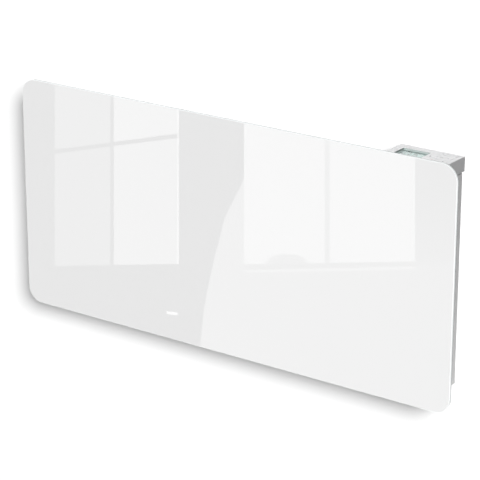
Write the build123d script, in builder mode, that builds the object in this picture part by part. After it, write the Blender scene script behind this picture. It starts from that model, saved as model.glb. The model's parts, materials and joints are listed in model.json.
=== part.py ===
"""Wall-hung electric inertia radiator: a glass front, a steel casing and a control box on top.

Millimetres. X runs to the right, Y into the wall and Z up. The origin is the centre of the
wall bracket's screw pattern, on the wall. The glass faces -Y.
"""

import os
from math import cos, hypot, radians, sin, tan

from build123d import *

os.makedirs("parts", exist_ok=True)

# Glass front
glass_width = 950.0
glass_height = 450.0
glass_thickness = 6.0
glass_corner_radius = 30.0
glass_edge_bevel = 0.8
bead_thickness = 1.0
bead_width = 10.0
bead_inset = 12.0

# Rear casing, folded from sheet
casing_wall_gap = 26.0
casing_depth = 53.0
casing_side_inset = 24.0
casing_bottom_inset = 33.5
casing_sheet = 1.0
casing_corner_radius = 3.0
casing_rear_radius = 2.0
vent_length = 40.0
vent_width = 4.0
vent_pitch = 50.0
vent_row_pitch = 14.0
vent_row_count = 2
vent_margin = 30.0

# Front tray behind the glass
tray_sheet = 1.0
tray_flange_depth = 16.0
tray_fit = 0.3
film_side_margin = 37.7
film_end_margin = 26.65
film_thickness = 0.5
film_corner_radius = 5.0
mat_side_inset = 17.0
mat_end_inset = 5.0
mat_thickness = 6.0
film_terminal_length = 10.0
film_terminal_height = 8.0
film_terminal_depth = 4.0
film_terminal_pitch = 14.0
film_terminal_inset = 8.0

# Storage core
block_count = 3
service_bay_width = 100.0
bend_bay_width = 74.0
core_end_margin = 51.95
block_thickness = 22.0
block_gap = 3.0
block_air_gap = 5.5
groove_width = 10.0
groove_depth = 4.0
groove_pitch = 30.0
groove_count = 7
element_diameter = 8.5
element_leg_spacing = 90.0
element_tail = 22.0
element_lead_in = 10.0
bush_diameter = 11.0
bush_length = 6.0
pin_diameter = 3.2
pin_length = 18.0

# Rails that carry the core
rail_sheet = 1.5
rail_lip_height = 10.0
rail_flange_height = 16.0
rail_overhang = 5.0
rail_shelf_length = 45.0
rail_tab_width = 30.0
rail_tab_height = 12.0
rail_vent_length = 60.0
rail_vent_width = 6.0
rail_vent_pitch = 80.0
reflector_thickness = 0.5
reflector_end_gap = 1.0

# Fasteners
screw_diameter = 3.5
screw_head_diameter = 7.0
screw_head_height = 2.2
screw_slot_width = 1.0
screw_slot_depth = 1.1
screw_slot_share = 0.6
rail_screw_length = 7.5
rail_nut_width = 7.0
rail_nut_thickness = 2.4
casing_screw_length = 7.0
casing_screw_count = 3
casing_screw_left_inset = 151.0
casing_screw_right_inset = 211.0
fine_screw_diameter = 2.2
fine_screw_head_diameter = 4.4
fine_screw_head_height = 1.5
cover_screw_spare = 1.0
bolt_clearance = 0.2

# Thermal cut-out and room sensor
cutout_body_diameter = 15.0
cutout_body_height = 8.0
cutout_base_length = 24.0
cutout_base_width = 17.0
cutout_base_thickness = 1.2
cutout_blade_length = 9.0
cutout_blade_width = 4.0
cutout_blade_thickness = 1.0
cutout_blade_pitch = 9.0
cutout_end_margin = 20.0
sensor_diameter = 5.0
sensor_length = 20.0
sensor_right_inset = 29.0
sensor_drop = 6.0
sensor_front_inset = 23.0
sensor_bush_diameter = 11.0
sensor_bush_hole = 8.0
sensor_bush_lip = 1.5

# Supply inlet
gland_bore = 8.4
gland_thread_diameter = 16.0
gland_hex_width = 20.0
gland_hex_height = 5.0
gland_thread_reach = 6.0
gland_nut_thickness = 4.0
gland_neck_diameter = 14.0
gland_neck_height = 9.0
gland_cap_diameter = 19.0
gland_cap_height = 11.0
gland_cap_wall = 2.0
gland_right_inset = 68.0
terminal_block_width = 36.0
terminal_block_height = 22.0
terminal_block_depth = 16.0
terminal_pitch = 10.0
terminal_count = 3
terminal_screw_diameter = 4.0
terminal_screw_depth = 5.0
terminal_block_rise = 54.5
terminal_block_right_inset = 51.0
earth_right_inset = 15.0
earth_rise = 26.5
earth_stud_length = 14.0
earth_nut_width = 8.0
earth_nut_thickness = 3.2
earth_tag_diameter = 9.0
earth_tag_thickness = 1.0

# Control box
control_width = 125.0
control_depth = 58.0
control_height = 26.0
control_right_inset = 23.3
control_top_drop = 3.4
control_wall = 2.2
control_edge_radius = 0.8
gasket_thickness = 1.2
gasket_inset = 2.5
base_plate = 2.2
base_rim_height = 8.0
base_rim_wall = 1.6
base_fit = 0.2
board_thickness = 1.6
board_edge_gap = 1.5
board_top_drop = 7.5
post_diameter = 6.0
display_light_gap = 7.5
display_window_depth = 34.0
display_recess = 3.0
display_window_thickness = 1.5
display_window_gap = 0.15
display_ledge = 2.0
display_pad_wall = 3.0
display_pad_floor = 1.2
display_left_inset = 15.3
display_front_inset = 7.0
display_module_gap = 0.2
display_module_margin = 0.8
light_diameter = 3.0
light_right_inset = 48.2
light_front_inset = 25.0
light_guide_gap = 0.1
relay_length = 20.0
relay_width = 15.0
relay_height = 12.0
relay_left_inset = 38.0
connector_width = 12.0
connector_depth = 12.0
connector_height = 10.0

# Keys
key_width = 15.0
key_depth = 12.0
key_corner_radius = 2.5
key_pitch_x = 21.0
key_pitch_y = 19.0
key_columns = 2
key_rows = 3
key_right_inset = 15.7
key_rear_inset = 10.0
key_gap = 0.25
key_proud = 0.4
key_travel = 0.5
key_lip = 0.8
key_lip_thickness = 1.0
key_lip_gap = 0.05
key_stem_diameter = 3.5
key_stem_end = 1.5
switch_size = 6.0
switch_height = 2.9
switch_floor = 0.8
running_clearance = 0.05
key_names = (
    ("key_menu", "key_standby"),
    ("key_back", "key_up"),
    ("key_mode", "key_down"),
)

# Wires and their grommet
wire_diameter = 2.2
bundle_pitch = 2.8
bundle_right_inset = 16.9
bundle_front_inset = 34.0
grommet_bore = 9.2
grommet_neck_diameter = 12.0
grommet_flange_diameter = 15.0
wire_bend_share = 0.45
live_turn_rise = 36.0
live_drop_rise = 24.0
neutral_turn_rise = 28.0
neutral_drop_rise = 16.0
pin_approach = 16.0
pin_turn_rise = 20.0
cutout_turn_rise = 22.0
link_fall = 40.0
link_bow = 8.0
link_shift = 2.0
film_approach = 18.0
film_turn_rise = 20.0
sensor_turn_rise = 46.0
sensor_straight = 20.0

# Wall bracket
bolt_spacing_x = 500.0
bolt_spacing_z = 200.0
bolt_hole_diameter = 7.0
bracket_sheet = 2.0
upright_width = 40.0
upright_flange_depth = 10.0
crossbar_height = 60.0
hook_rise = 25.5
hook_width = 20.0
hook_lift = 14.0
hook_seat_gap = 1.0
hook_side_gap = 2.0
hook_slot_margin = 0.5
arm_drop = 22.4
arm_casing_gap = 0.5

# Quarter-turn latches
latch_thickness = 2.5
latch_reach = 21.0
latch_width = 8.0
latch_hub_diameter = 14.0
latch_handle_length = 13.0
latch_handle_angle = 35.0
latch_tab_height = 9.0
latch_tab_thickness = 1.6
latch_float = 0.05
latch_slot_gap = 0.45
latch_sweep_margin = 1.2
rivet_diameter = 6.0
rivet_head_diameter = 10.0
rivet_head_height = 1.5


# Places worked out from the sizes

casing_rear_y = -casing_wall_gap
casing_front_y = casing_rear_y - casing_depth
casing_inner_rear_y = casing_rear_y - casing_sheet
glass_rear_y = casing_front_y - bead_thickness
glass_front_y = glass_rear_y - glass_thickness
glass_top_z = glass_height / 2
glass_bottom_z = -glass_height / 2

control_right_x = glass_width / 2 - control_right_inset
control_left_x = control_right_x - control_width
control_mid_x = (control_left_x + control_right_x) / 2
control_front_y = casing_front_y
control_rear_y = control_front_y + control_depth
control_mid_y = (control_front_y + control_rear_y) / 2
control_top_z = glass_top_z - control_top_drop
control_bottom_z = control_top_z - control_height

casing_right_x = glass_width / 2 - casing_side_inset
casing_left_x = -casing_right_x
casing_width = casing_right_x - casing_left_x
casing_bottom_z = glass_bottom_z + casing_bottom_inset
casing_top_z = control_bottom_z - gasket_thickness
casing_height = casing_top_z - casing_bottom_z
casing_mid_z = (casing_top_z + casing_bottom_z) / 2
casing_mid_y = (casing_front_y + casing_rear_y) / 2
floor_inner_z = casing_bottom_z + casing_sheet
roof_inner_z = casing_top_z - casing_sheet
side_inner_x = casing_right_x - casing_sheet

tray_width = casing_width - 2 * (casing_sheet + tray_fit)
tray_height = casing_height - 2 * (casing_sheet + tray_fit)
tray_corner_radius = casing_corner_radius - casing_sheet - tray_fit
tray_rear_y = casing_front_y + tray_flange_depth
film_front_y = casing_front_y + tray_sheet
mat_front_y = film_front_y + film_thickness
mat_rear_y = mat_front_y + mat_thickness
film_width = tray_width - 2 * film_side_margin
film_height = tray_height - 2 * film_end_margin
mat_width = film_width - 2 * mat_side_inset
mat_height = film_height - 2 * mat_end_inset
film_terminal_x = film_width / 2 - film_terminal_inset
film_terminal_rear_y = mat_front_y + film_terminal_depth

core_left_x = bend_bay_width - side_inner_x
core_right_x = side_inner_x - service_bay_width
core_width = core_right_x - core_left_x
core_mid_x = (core_left_x + core_right_x) / 2
core_bottom_z = floor_inner_z + core_end_margin
core_top_z = roof_inner_z - core_end_margin
block_width = (core_width - (block_count - 1) * block_gap) / block_count
block_height = core_top_z - core_bottom_z
block_front_y = mat_rear_y + block_air_gap
block_mid_y = block_front_y + block_thickness / 2
block_rear_y = block_front_y + block_thickness
element_upper_z = casing_mid_z + element_leg_spacing / 2
element_lower_z = casing_mid_z - element_leg_spacing / 2
element_end_x = core_right_x + element_tail
pin_end_x = element_end_x + pin_length

rail_left_x = core_left_x - rail_overhang
rail_right_x = core_right_x + rail_overhang
shelf_right_x = core_right_x + rail_shelf_length
rail_front_y = block_front_y - tray_fit - rail_sheet
flange_front_y = casing_inner_rear_y - rail_sheet
reflector_front_y = flange_front_y - reflector_thickness
rail_tab_front_y = block_rear_y + tray_fit
block_centres = [core_left_x + block_width / 2 + i * (block_width + block_gap) for i in range(block_count)]
rail_screw_z = (core_bottom_z + rail_flange_height / 2, core_top_z - rail_flange_height / 2)

cutout_x = shelf_right_x - cutout_end_margin
cutout_base_z = core_top_z + rail_sheet
cutout_blade_z = cutout_base_z + cutout_base_thickness + cutout_body_height / 2
cutout_blade_end_x = cutout_x + cutout_body_diameter / 2 + cutout_blade_length
sensor_x = side_inner_x - sensor_right_inset + sensor_diameter / 2
sensor_y = casing_front_y + sensor_front_inset
sensor_bottom_z = casing_bottom_z - sensor_drop
sensor_top_z = sensor_bottom_z + sensor_length

gland_x = side_inner_x - gland_right_inset
gland_y = casing_mid_y
gland_hex_z = casing_bottom_z - gland_hex_height
gland_neck_z = gland_hex_z - gland_neck_height
gland_cap_z = gland_hex_z - gland_cap_height
terminal_block_x = side_inner_x - terminal_block_right_inset
terminal_block_front_y = casing_inner_rear_y - terminal_block_depth
terminal_block_z = floor_inner_z + terminal_block_rise
terminal_block_top_z = terminal_block_z + terminal_block_height / 2
terminal_block_bottom_z = terminal_block_z - terminal_block_height / 2
terminal_way_x = [
    terminal_block_x + (i - (terminal_count - 1) / 2) * terminal_pitch for i in range(terminal_count)
]
terminal_way_y = casing_inner_rear_y - terminal_block_depth / 2
earth_x = side_inner_x - earth_right_inset
earth_z = floor_inner_z + earth_rise

board_top_z = control_top_z - board_top_drop
board_bottom_z = board_top_z - board_thickness
cover_inner_top_z = control_top_z - control_wall
base_top_z = control_bottom_z + base_plate
light_x = control_right_x - light_right_inset
display_left_x = control_left_x + display_left_inset
display_window_width = light_x - display_light_gap - display_left_x
display_mid_x = display_left_x + display_window_width / 2
display_front_y = control_front_y + display_front_inset
display_mid_y = display_front_y + display_window_depth / 2
window_top_z = control_top_z - display_recess
window_bottom_z = window_top_z - display_window_thickness
pad_bottom_z = window_bottom_z - display_pad_floor
module_top_z = window_bottom_z - display_module_gap
display_opening_width = display_window_width - 2 * display_ledge
display_opening_depth = display_window_depth - 2 * display_ledge
light_y = control_front_y + light_front_inset
key_grid_x = control_right_x - key_right_inset - key_pitch_x * (key_columns - 1) / 2
key_grid_y = control_rear_y - key_rear_inset - key_pitch_y * (key_rows - 1) / 2
key_top_z = control_top_z + key_proud
key_lip_top_z = cover_inner_top_z - key_lip_gap
key_lip_bottom_z = key_lip_top_z - key_lip_thickness
key_stem_bottom_z = board_top_z + key_stem_end
cover_boss_left_x = control_left_x + control_wall + post_diameter / 2
cover_boss_places = [
    (x, key_grid_y + side * key_pitch_y / 2) for x in (cover_boss_left_x, key_grid_x) for side in (-1, 1)
]
board_post_places = (
    (display_left_x - display_ledge, control_mid_y),
    (light_x, control_mid_y - key_pitch_y),
    (light_x, control_mid_y + key_pitch_y),
)

bundle_x = control_right_x - bundle_right_inset
bundle_y = control_front_y + bundle_front_inset
connector_bottom_z = board_bottom_z - connector_height

bolt_x = bolt_spacing_x / 2
hook_leg_top_z = casing_bottom_z + hook_rise
hook_leg_bottom_z = hook_leg_top_z - bracket_sheet
hook_tab_rear_y = casing_inner_rear_y - hook_seat_gap
hook_tab_front_y = hook_tab_rear_y - bracket_sheet
arm_top_z = casing_top_z - arm_drop
arm_bottom_z = arm_top_z - bracket_sheet
arm_front_y = casing_rear_y + arm_casing_gap
latch_pivot_y = -casing_wall_gap / 2
latch_bottom_z = arm_top_z + latch_float
latch_top_z = latch_bottom_z + latch_thickness


def facing(y):
    """Return a plane across Y that draws in X and Z and extrudes towards the room."""
    return Plane(origin=(0, y, 0), x_dir=(1, 0, 0), z_dir=(0, -1, 0))


def make_screw(shank_diameter, shank_length, head_diameter, head_height):
    """Return a cross-head screw: its head rises from the origin and its shank points to -Z."""
    with BuildPart() as screw:
        with BuildSketch(Plane.XY.offset(-shank_length)):
            Circle(shank_diameter / 2)
        extrude(amount=shank_length)
        with BuildSketch(Plane.XY):
            Circle(head_diameter / 2)
        extrude(amount=head_height)
        fillet(screw.edges().group_by(Axis.Z)[-1], radius=head_height / 2)
        with BuildSketch(Plane.XY.offset(head_height)):
            Rectangle(head_diameter * screw_slot_share, screw_slot_width)
            Rectangle(screw_slot_width, head_diameter * screw_slot_share)
        extrude(amount=-screw_slot_depth, mode=Mode.SUBTRACT)
    return screw.part


def make_nut(width, thickness, bore_diameter):
    """Return a hexagonal nut that stands on the origin along +Z."""
    with BuildPart() as nut:
        with BuildSketch(Plane.XY):
            RegularPolygon(width / 2, 6, major_radius=False)
            Circle(bore_diameter / 2, mode=Mode.SUBTRACT)
        extrude(amount=thickness)
    return nut.part


def bend_radii(points):
    """Return one radius for each corner, as large as the two runs beside it allow."""
    radii = []
    for before, corner, after in zip(points, points[1:], points[2:]):
        run_in = Vector(*corner) - Vector(*before)
        run_out = Vector(*after) - Vector(*corner)
        half_turn = radians(run_in.get_angle(run_out) / 2)
        radii.append(wire_bend_share * min(run_in.length, run_out.length) / tan(half_turn))
    return radii


def make_wire(points):
    """Return one insulated wire along its route."""
    with BuildPart() as wire:
        with BuildLine() as route:
            FilletPolyline(*points, radius=bend_radii(points))
        with BuildSketch(Plane(origin=route.line @ 0, z_dir=route.line % 0)):
            Circle(wire_diameter / 2)
        sweep(path=route.line)
    print("wire bends", [round(radius, 1) for radius in bend_radii(points)])
    return wire.part


# Glass front panel with rounded corners and a polished, bevelled rim

with BuildPart() as glass_front_panel:
    with BuildSketch(facing(glass_rear_y)):
        RectangleRounded(glass_width, glass_height, glass_corner_radius)
    extrude(amount=glass_thickness)
    chamfer(glass_front_panel.edges().group_by(Axis.Y)[0], length=glass_edge_bevel)
    chamfer(glass_front_panel.edges().group_by(Axis.Y)[-1], length=glass_edge_bevel)
glass_front_panel.part.label = "glass_front_panel"
export_step(glass_front_panel.part, "parts/glass_front_panel.step")

# Silicone bead, a frame that bonds the glass to the tray

with BuildPart() as glass_bond_bead:
    with BuildSketch(facing(casing_front_y)):
        with Locations((0, casing_mid_z)):
            RectangleRounded(tray_width - 2 * bead_inset, tray_height - 2 * bead_inset, bead_width)
            Rectangle(
                tray_width - 2 * (bead_inset + bead_width),
                tray_height - 2 * (bead_inset + bead_width),
                mode=Mode.SUBTRACT,
            )
    extrude(amount=bead_thickness)
glass_bond_bead.part.label = "glass_bond_bead"
export_step(glass_bond_bead.part, "parts/glass_bond_bead.step")

# Front tray: a flat sheet with a flange that fits inside the casing's walls

first_screw_x = casing_left_x + casing_screw_left_inset
last_screw_x = casing_right_x - casing_screw_right_inset
casing_screw_pitch = (last_screw_x - first_screw_x) / (casing_screw_count - 1)
casing_screw_y = casing_front_y + tray_flange_depth / 2
casing_screw_places = [
    (first_screw_x + i * casing_screw_pitch, casing_screw_y) for i in range(casing_screw_count)
]
screw_hole_diameter = screw_diameter + 2 * bolt_clearance

with BuildPart() as front_tray:
    with BuildSketch(facing(tray_rear_y)):
        with Locations((0, casing_mid_z)):
            RectangleRounded(tray_width, tray_height, tray_corner_radius)
    extrude(amount=tray_flange_depth)
    offset(amount=-tray_sheet, openings=front_tray.faces().sort_by(Axis.Y)[-1])
    with BuildSketch(Plane.XY.offset(casing_mid_z)):
        with Locations(*casing_screw_places):
            Circle(screw_hole_diameter / 2)
    extrude(amount=casing_height / 2, both=True, mode=Mode.SUBTRACT)
front_tray.part.label = "front_tray"
export_step(front_tray.part, "parts/front_tray.step")

# Heating film on the tray, its two terminals, and the mat that sends its heat forward

with BuildPart() as heating_film:
    with BuildSketch(facing(mat_front_y)):
        with Locations((0, casing_mid_z)):
            RectangleRounded(film_width, film_height, film_corner_radius)
    extrude(amount=film_thickness)
heating_film.part.label = "heating_film"
export_step(heating_film.part, "parts/heating_film.step")

with BuildPart() as film_terminals:
    with BuildSketch(facing(film_terminal_rear_y)):
        with Locations((film_terminal_x, 0), (film_terminal_x, film_terminal_pitch)):
            Rectangle(film_terminal_length, film_terminal_height)
    extrude(amount=film_terminal_depth)
film_terminals.part.label = "film_terminals"
export_step(film_terminals.part, "parts/film_terminals.step")

with BuildPart() as film_insulation:
    with BuildSketch(facing(mat_rear_y)):
        with Locations((0, casing_mid_z)):
            Rectangle(mat_width, mat_height)
    extrude(amount=mat_thickness)
film_insulation.part.label = "film_insulation"
export_step(film_insulation.part, "parts/film_insulation.step")

# Rear casing: a five-sided sheet steel shell, open to the glass

rail_screw_places = [(x, z) for x in block_centres for z in rail_screw_z]
latch_tip_radius = hypot(latch_reach, latch_width / 2)
latch_sweep = (latch_tip_radius**2 - (latch_pivot_y - casing_rear_y) ** 2) ** 0.5 + latch_sweep_margin
latch_slot_width = latch_sweep + latch_width / 2 + latch_sweep_margin
latch_slot_shift = latch_sweep - latch_slot_width / 2
hook_slot_height = hook_lift + bracket_sheet + hook_slot_margin
top_vent_length = control_left_x - casing_left_x - 2 * vent_margin
top_vent_x = (control_left_x + casing_left_x) / 2
floor_vent_right_x = gland_x - gland_hex_width / 2
floor_vent_length = floor_vent_right_x - casing_left_x - 2 * vent_margin
floor_vent_x = (floor_vent_right_x + casing_left_x) / 2
top_vent_count = int(top_vent_length // vent_pitch)
floor_vent_count = int(floor_vent_length // vent_pitch)
hook_slot_z = hook_leg_top_z - hook_slot_height / 2

with BuildPart() as rear_casing:
    with BuildSketch(facing(casing_rear_y)):
        with Locations((0, casing_mid_z)):
            RectangleRounded(casing_width, casing_height, casing_corner_radius)
    extrude(amount=casing_depth)
    fillet(rear_casing.edges().group_by(Axis.Y)[-1], radius=casing_rear_radius)
    offset(amount=-casing_sheet, openings=rear_casing.faces().sort_by(Axis.Y)[0])
    with BuildSketch(Plane.XY.offset(casing_top_z)):
        with Locations((top_vent_x, casing_mid_y)):
            with GridLocations(vent_pitch, vent_row_pitch, top_vent_count, vent_row_count):
                SlotOverall(vent_length, vent_width)
        with Locations((bundle_x, bundle_y)):
            Circle(grommet_neck_diameter / 2)
        with Locations(*cover_boss_places):
            Circle(fine_screw_diameter / 2 + bolt_clearance)
        with Locations(*casing_screw_places):
            Circle(screw_hole_diameter / 2)
    extrude(amount=casing_sheet, both=True, mode=Mode.SUBTRACT)
    with BuildSketch(Plane.XY.offset(casing_bottom_z)):
        with Locations((floor_vent_x, casing_mid_y)):
            with GridLocations(vent_pitch, vent_row_pitch, floor_vent_count, vent_row_count):
                SlotOverall(vent_length, vent_width)
        with Locations((gland_x, gland_y)):
            Circle(gland_thread_diameter / 2 + bolt_clearance)
        with Locations((sensor_x, sensor_y)):
            Circle(sensor_bush_hole / 2)
        with Locations(*casing_screw_places):
            Circle(screw_hole_diameter / 2)
    extrude(amount=casing_sheet, both=True, mode=Mode.SUBTRACT)
    with BuildSketch(facing(casing_rear_y)):
        with Locations(*rail_screw_places, (earth_x, earth_z)):
            Circle(screw_hole_diameter / 2)
        with Locations((-bolt_x, hook_slot_z), (bolt_x, hook_slot_z)):
            Rectangle(hook_width + 2 * hook_side_gap, hook_slot_height)
        with Locations(
            (-bolt_x + latch_slot_shift, latch_bottom_z + latch_thickness / 2),
            (bolt_x - latch_slot_shift, latch_bottom_z + latch_thickness / 2),
        ):
            Rectangle(latch_slot_width, latch_thickness + 2 * latch_slot_gap)
    extrude(amount=casing_sheet, both=True, mode=Mode.SUBTRACT)
rear_casing.part.label = "rear_casing"
export_step(rear_casing.part, "parts/rear_casing.step")

# Screws that hold the casing to the tray's flange, from above and from below

casing_screw = make_screw(screw_diameter, casing_screw_length, screw_head_diameter, screw_head_height)

with BuildPart() as casing_screws:
    for x, y in casing_screw_places:
        with Locations(Plane(origin=(x, y, casing_top_z), z_dir=(0, 0, 1))):
            add(casing_screw)
    for x, y in casing_screw_places:
        with Locations(Plane(origin=(x, y, casing_bottom_z), z_dir=(0, 0, -1))):
            add(casing_screw)
casing_screws.part.label = "casing_screws"
export_step(casing_screws.part, "parts/casing_screws.step")

# Inertia blocks: fluted bricks with two bores for the element


def make_block(x_centre):
    """Return one storage block, fluted front and back for the rising air."""
    with BuildPart() as block:
        with BuildSketch(Plane.XY.offset(core_bottom_z)):
            with Locations((x_centre, block_mid_y)):
                Rectangle(block_width, block_thickness)
                with GridLocations(groove_pitch, block_thickness, groove_count, 2):
                    Rectangle(groove_width, 2 * groove_depth, mode=Mode.SUBTRACT)
        extrude(amount=block_height)
        with BuildSketch(Plane.YZ.offset(x_centre)):
            with Locations((block_mid_y, element_upper_z), (block_mid_y, element_lower_z)):
                Circle(element_diameter / 2 + tray_fit)
        extrude(amount=block_width, both=True, mode=Mode.SUBTRACT)
    return block.part


for block_name, block_x in zip(("left", "centre", "right"), block_centres):
    inertia_block = make_block(block_x)
    inertia_block.label = f"inertia_block_{block_name}"
    export_step(inertia_block, f"parts/inertia_block_{block_name}.step")

# Heating element: one sheathed tube, out along the upper bores and back along the lower ones

element_bend_x = core_left_x - element_lead_in

with BuildPart() as heating_element:
    with BuildLine(facing(block_mid_y)) as element_route:
        Line((element_end_x, element_upper_z), (element_bend_x, element_upper_z))
        CenterArc((element_bend_x, casing_mid_z), element_leg_spacing / 2, 90, 180)
        Line((element_bend_x, element_lower_z), (element_end_x, element_lower_z))
    with BuildSketch(Plane.YZ.offset(element_end_x)):
        with Locations((block_mid_y, element_upper_z)):
            Circle(element_diameter / 2)
    sweep(path=element_route.line)
heating_element.part.label = "heating_element"
export_step(heating_element.part, "parts/heating_element.step")

with BuildPart() as element_pins:
    with BuildSketch(Plane.YZ.offset(element_end_x)):
        with Locations((block_mid_y, element_upper_z), (block_mid_y, element_lower_z)):
            Circle(pin_diameter / 2)
    extrude(amount=pin_length)
element_pins.part.label = "element_pins"
export_step(element_pins.part, "parts/element_pins.step")

with BuildPart() as element_bushes:
    with BuildSketch(Plane.YZ.offset(element_end_x)):
        with Locations((block_mid_y, element_upper_z), (block_mid_y, element_lower_z)):
            Circle(bush_diameter / 2)
            Circle(pin_diameter / 2 + running_clearance, mode=Mode.SUBTRACT)
    extrude(amount=bush_length)
element_bushes.part.label = "element_bushes"
export_step(element_bushes.part, "parts/element_bushes.step")

# Rails: channels that hold the blocks and stand them off the casing's back


def make_rail(seat_z, inward, right_x):
    """Return one rail. The blocks seat at seat_z; inward is +1 for the lower rail, -1 for the upper."""
    web_y = (rail_front_y + casing_inner_rear_y) / 2
    web_depth = casing_inner_rear_y - rail_front_y
    lip_span = rail_sheet + rail_lip_height
    flange_span = rail_sheet + rail_flange_height
    outer_z = seat_z - inward * rail_sheet
    length = right_x - rail_left_x
    vent_y = (rail_tab_front_y + rail_sheet + flange_front_y) / 2
    with BuildPart() as rail:
        with BuildSketch(Plane.YZ.offset(rail_left_x)):
            with Locations((web_y, seat_z - inward * rail_sheet / 2)):
                Rectangle(web_depth, rail_sheet)
            with Locations((rail_front_y + rail_sheet / 2, outer_z + inward * lip_span / 2)):
                Rectangle(rail_sheet, lip_span)
            with Locations((casing_inner_rear_y - rail_sheet / 2, outer_z + inward * flange_span / 2)):
                Rectangle(rail_sheet, flange_span)
        extrude(amount=length)
        with BuildSketch(facing(rail_tab_front_y + rail_sheet)):
            with Locations(*[(x, seat_z + inward * rail_tab_height / 2) for x in block_centres]):
                Rectangle(rail_tab_width, rail_tab_height)
        extrude(amount=rail_sheet)
        with BuildSketch(Plane.XY.offset(seat_z)):
            with Locations((core_mid_x, vent_y)):
                with GridLocations(rail_vent_pitch, 1, int(core_width // rail_vent_pitch), 1):
                    SlotOverall(rail_vent_length, rail_vent_width)
        extrude(amount=2 * rail_sheet, both=True, mode=Mode.SUBTRACT)
        with BuildSketch(facing(casing_inner_rear_y)):
            with Locations(*rail_screw_places):
                Circle(screw_hole_diameter / 2)
        extrude(amount=rail_sheet, mode=Mode.SUBTRACT)
    return rail.part


lower_block_rail = make_rail(core_bottom_z, 1, rail_right_x)
lower_block_rail.label = "lower_block_rail"
export_step(lower_block_rail, "parts/lower_block_rail.step")

upper_block_rail = make_rail(core_top_z, -1, shelf_right_x)
upper_block_rail.label = "upper_block_rail"
export_step(upper_block_rail, "parts/upper_block_rail.step")

# Reflector sheet, clamped to the rails' flanges

with BuildPart() as rear_reflector:
    with BuildSketch(facing(flange_front_y)):
        with Locations((core_mid_x, casing_mid_z)):
            Rectangle(core_width, block_height - 2 * reflector_end_gap)
        with Locations(*rail_screw_places):
            Circle(screw_hole_diameter / 2, mode=Mode.SUBTRACT)
    extrude(amount=reflector_thickness)
rear_reflector.part.label = "rear_reflector"
export_step(rear_reflector.part, "parts/rear_reflector.step")

rail_screw = make_screw(screw_diameter, rail_screw_length, screw_head_diameter, screw_head_height)
rail_nut = make_nut(rail_nut_width, rail_nut_thickness, screw_diameter + 2 * running_clearance)

with BuildPart() as rail_screws:
    with Locations(*[Plane(origin=(x, casing_rear_y, z), z_dir=(0, 1, 0)) for x, z in rail_screw_places]):
        add(rail_screw)
rail_screws.part.label = "rail_screws"
export_step(rail_screws.part, "parts/rail_screws.step")

with BuildPart() as rail_nuts:
    for x, z in rail_screw_places:
        with Locations(Plane(origin=(x, reflector_front_y, z), z_dir=(0, -1, 0))):
            add(rail_nut)
rail_nuts.part.label = "rail_nuts"
export_step(rail_nuts.part, "parts/rail_nuts.step")

# Thermal cut-out on the upper rail's shelf, in the warm air above the core

with BuildPart() as thermal_cutout:
    with BuildSketch(Plane.XY.offset(cutout_base_z)):
        with Locations((cutout_x, block_mid_y)):
            Rectangle(cutout_base_width, cutout_base_length)
    extrude(amount=cutout_base_thickness)
    with BuildSketch(Plane.XY.offset(cutout_base_z + cutout_base_thickness)):
        with Locations((cutout_x, block_mid_y)):
            Circle(cutout_body_diameter / 2)
    extrude(amount=cutout_body_height)
    with BuildSketch(Plane.XY.offset(cutout_blade_z - cutout_blade_thickness / 2)):
        with Locations(((cutout_x + cutout_blade_end_x) / 2, block_mid_y)):
            with GridLocations(1, cutout_blade_pitch, 1, 2):
                Rectangle(cutout_blade_end_x - cutout_x, cutout_blade_width)
    extrude(amount=cutout_blade_thickness)
thermal_cutout.part.label = "thermal_cutout"
export_step(thermal_cutout.part, "parts/thermal_cutout.step")

# Room sensor: a probe held in a soft bush in the casing's floor

with BuildPart() as room_sensor:
    with BuildSketch(Plane.XY.offset(sensor_bottom_z)):
        with Locations((sensor_x, sensor_y)):
            Circle(sensor_diameter / 2)
    extrude(amount=sensor_length)
    fillet(room_sensor.edges().group_by(Axis.Z)[0], radius=sensor_diameter / 4)
room_sensor.part.label = "room_sensor"
export_step(room_sensor.part, "parts/room_sensor.step")

with BuildPart() as sensor_bush:
    with BuildSketch(Plane.XY.offset(casing_bottom_z - sensor_bush_lip)):
        with Locations((sensor_x, sensor_y)):
            Circle(sensor_bush_diameter / 2)
    extrude(amount=sensor_bush_lip)
    with BuildSketch(Plane.XY.offset(casing_bottom_z)):
        with Locations((sensor_x, sensor_y)):
            Circle(sensor_bush_hole / 2 - running_clearance)
    extrude(amount=casing_sheet)
    with BuildSketch(Plane.XY.offset(floor_inner_z)):
        with Locations((sensor_x, sensor_y)):
            Circle(sensor_bush_diameter / 2)
    extrude(amount=sensor_bush_lip)
    with BuildSketch(Plane.XY.offset(casing_bottom_z)):
        with Locations((sensor_x, sensor_y)):
            Circle(sensor_diameter / 2 + running_clearance)
    extrude(amount=2 * sensor_bush_diameter, both=True, mode=Mode.SUBTRACT)
sensor_bush.part.label = "sensor_bush"
export_step(sensor_bush.part, "parts/sensor_bush.step")

# Supply gland in the casing's floor: body, lock nut, sealing sleeve and cap

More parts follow.
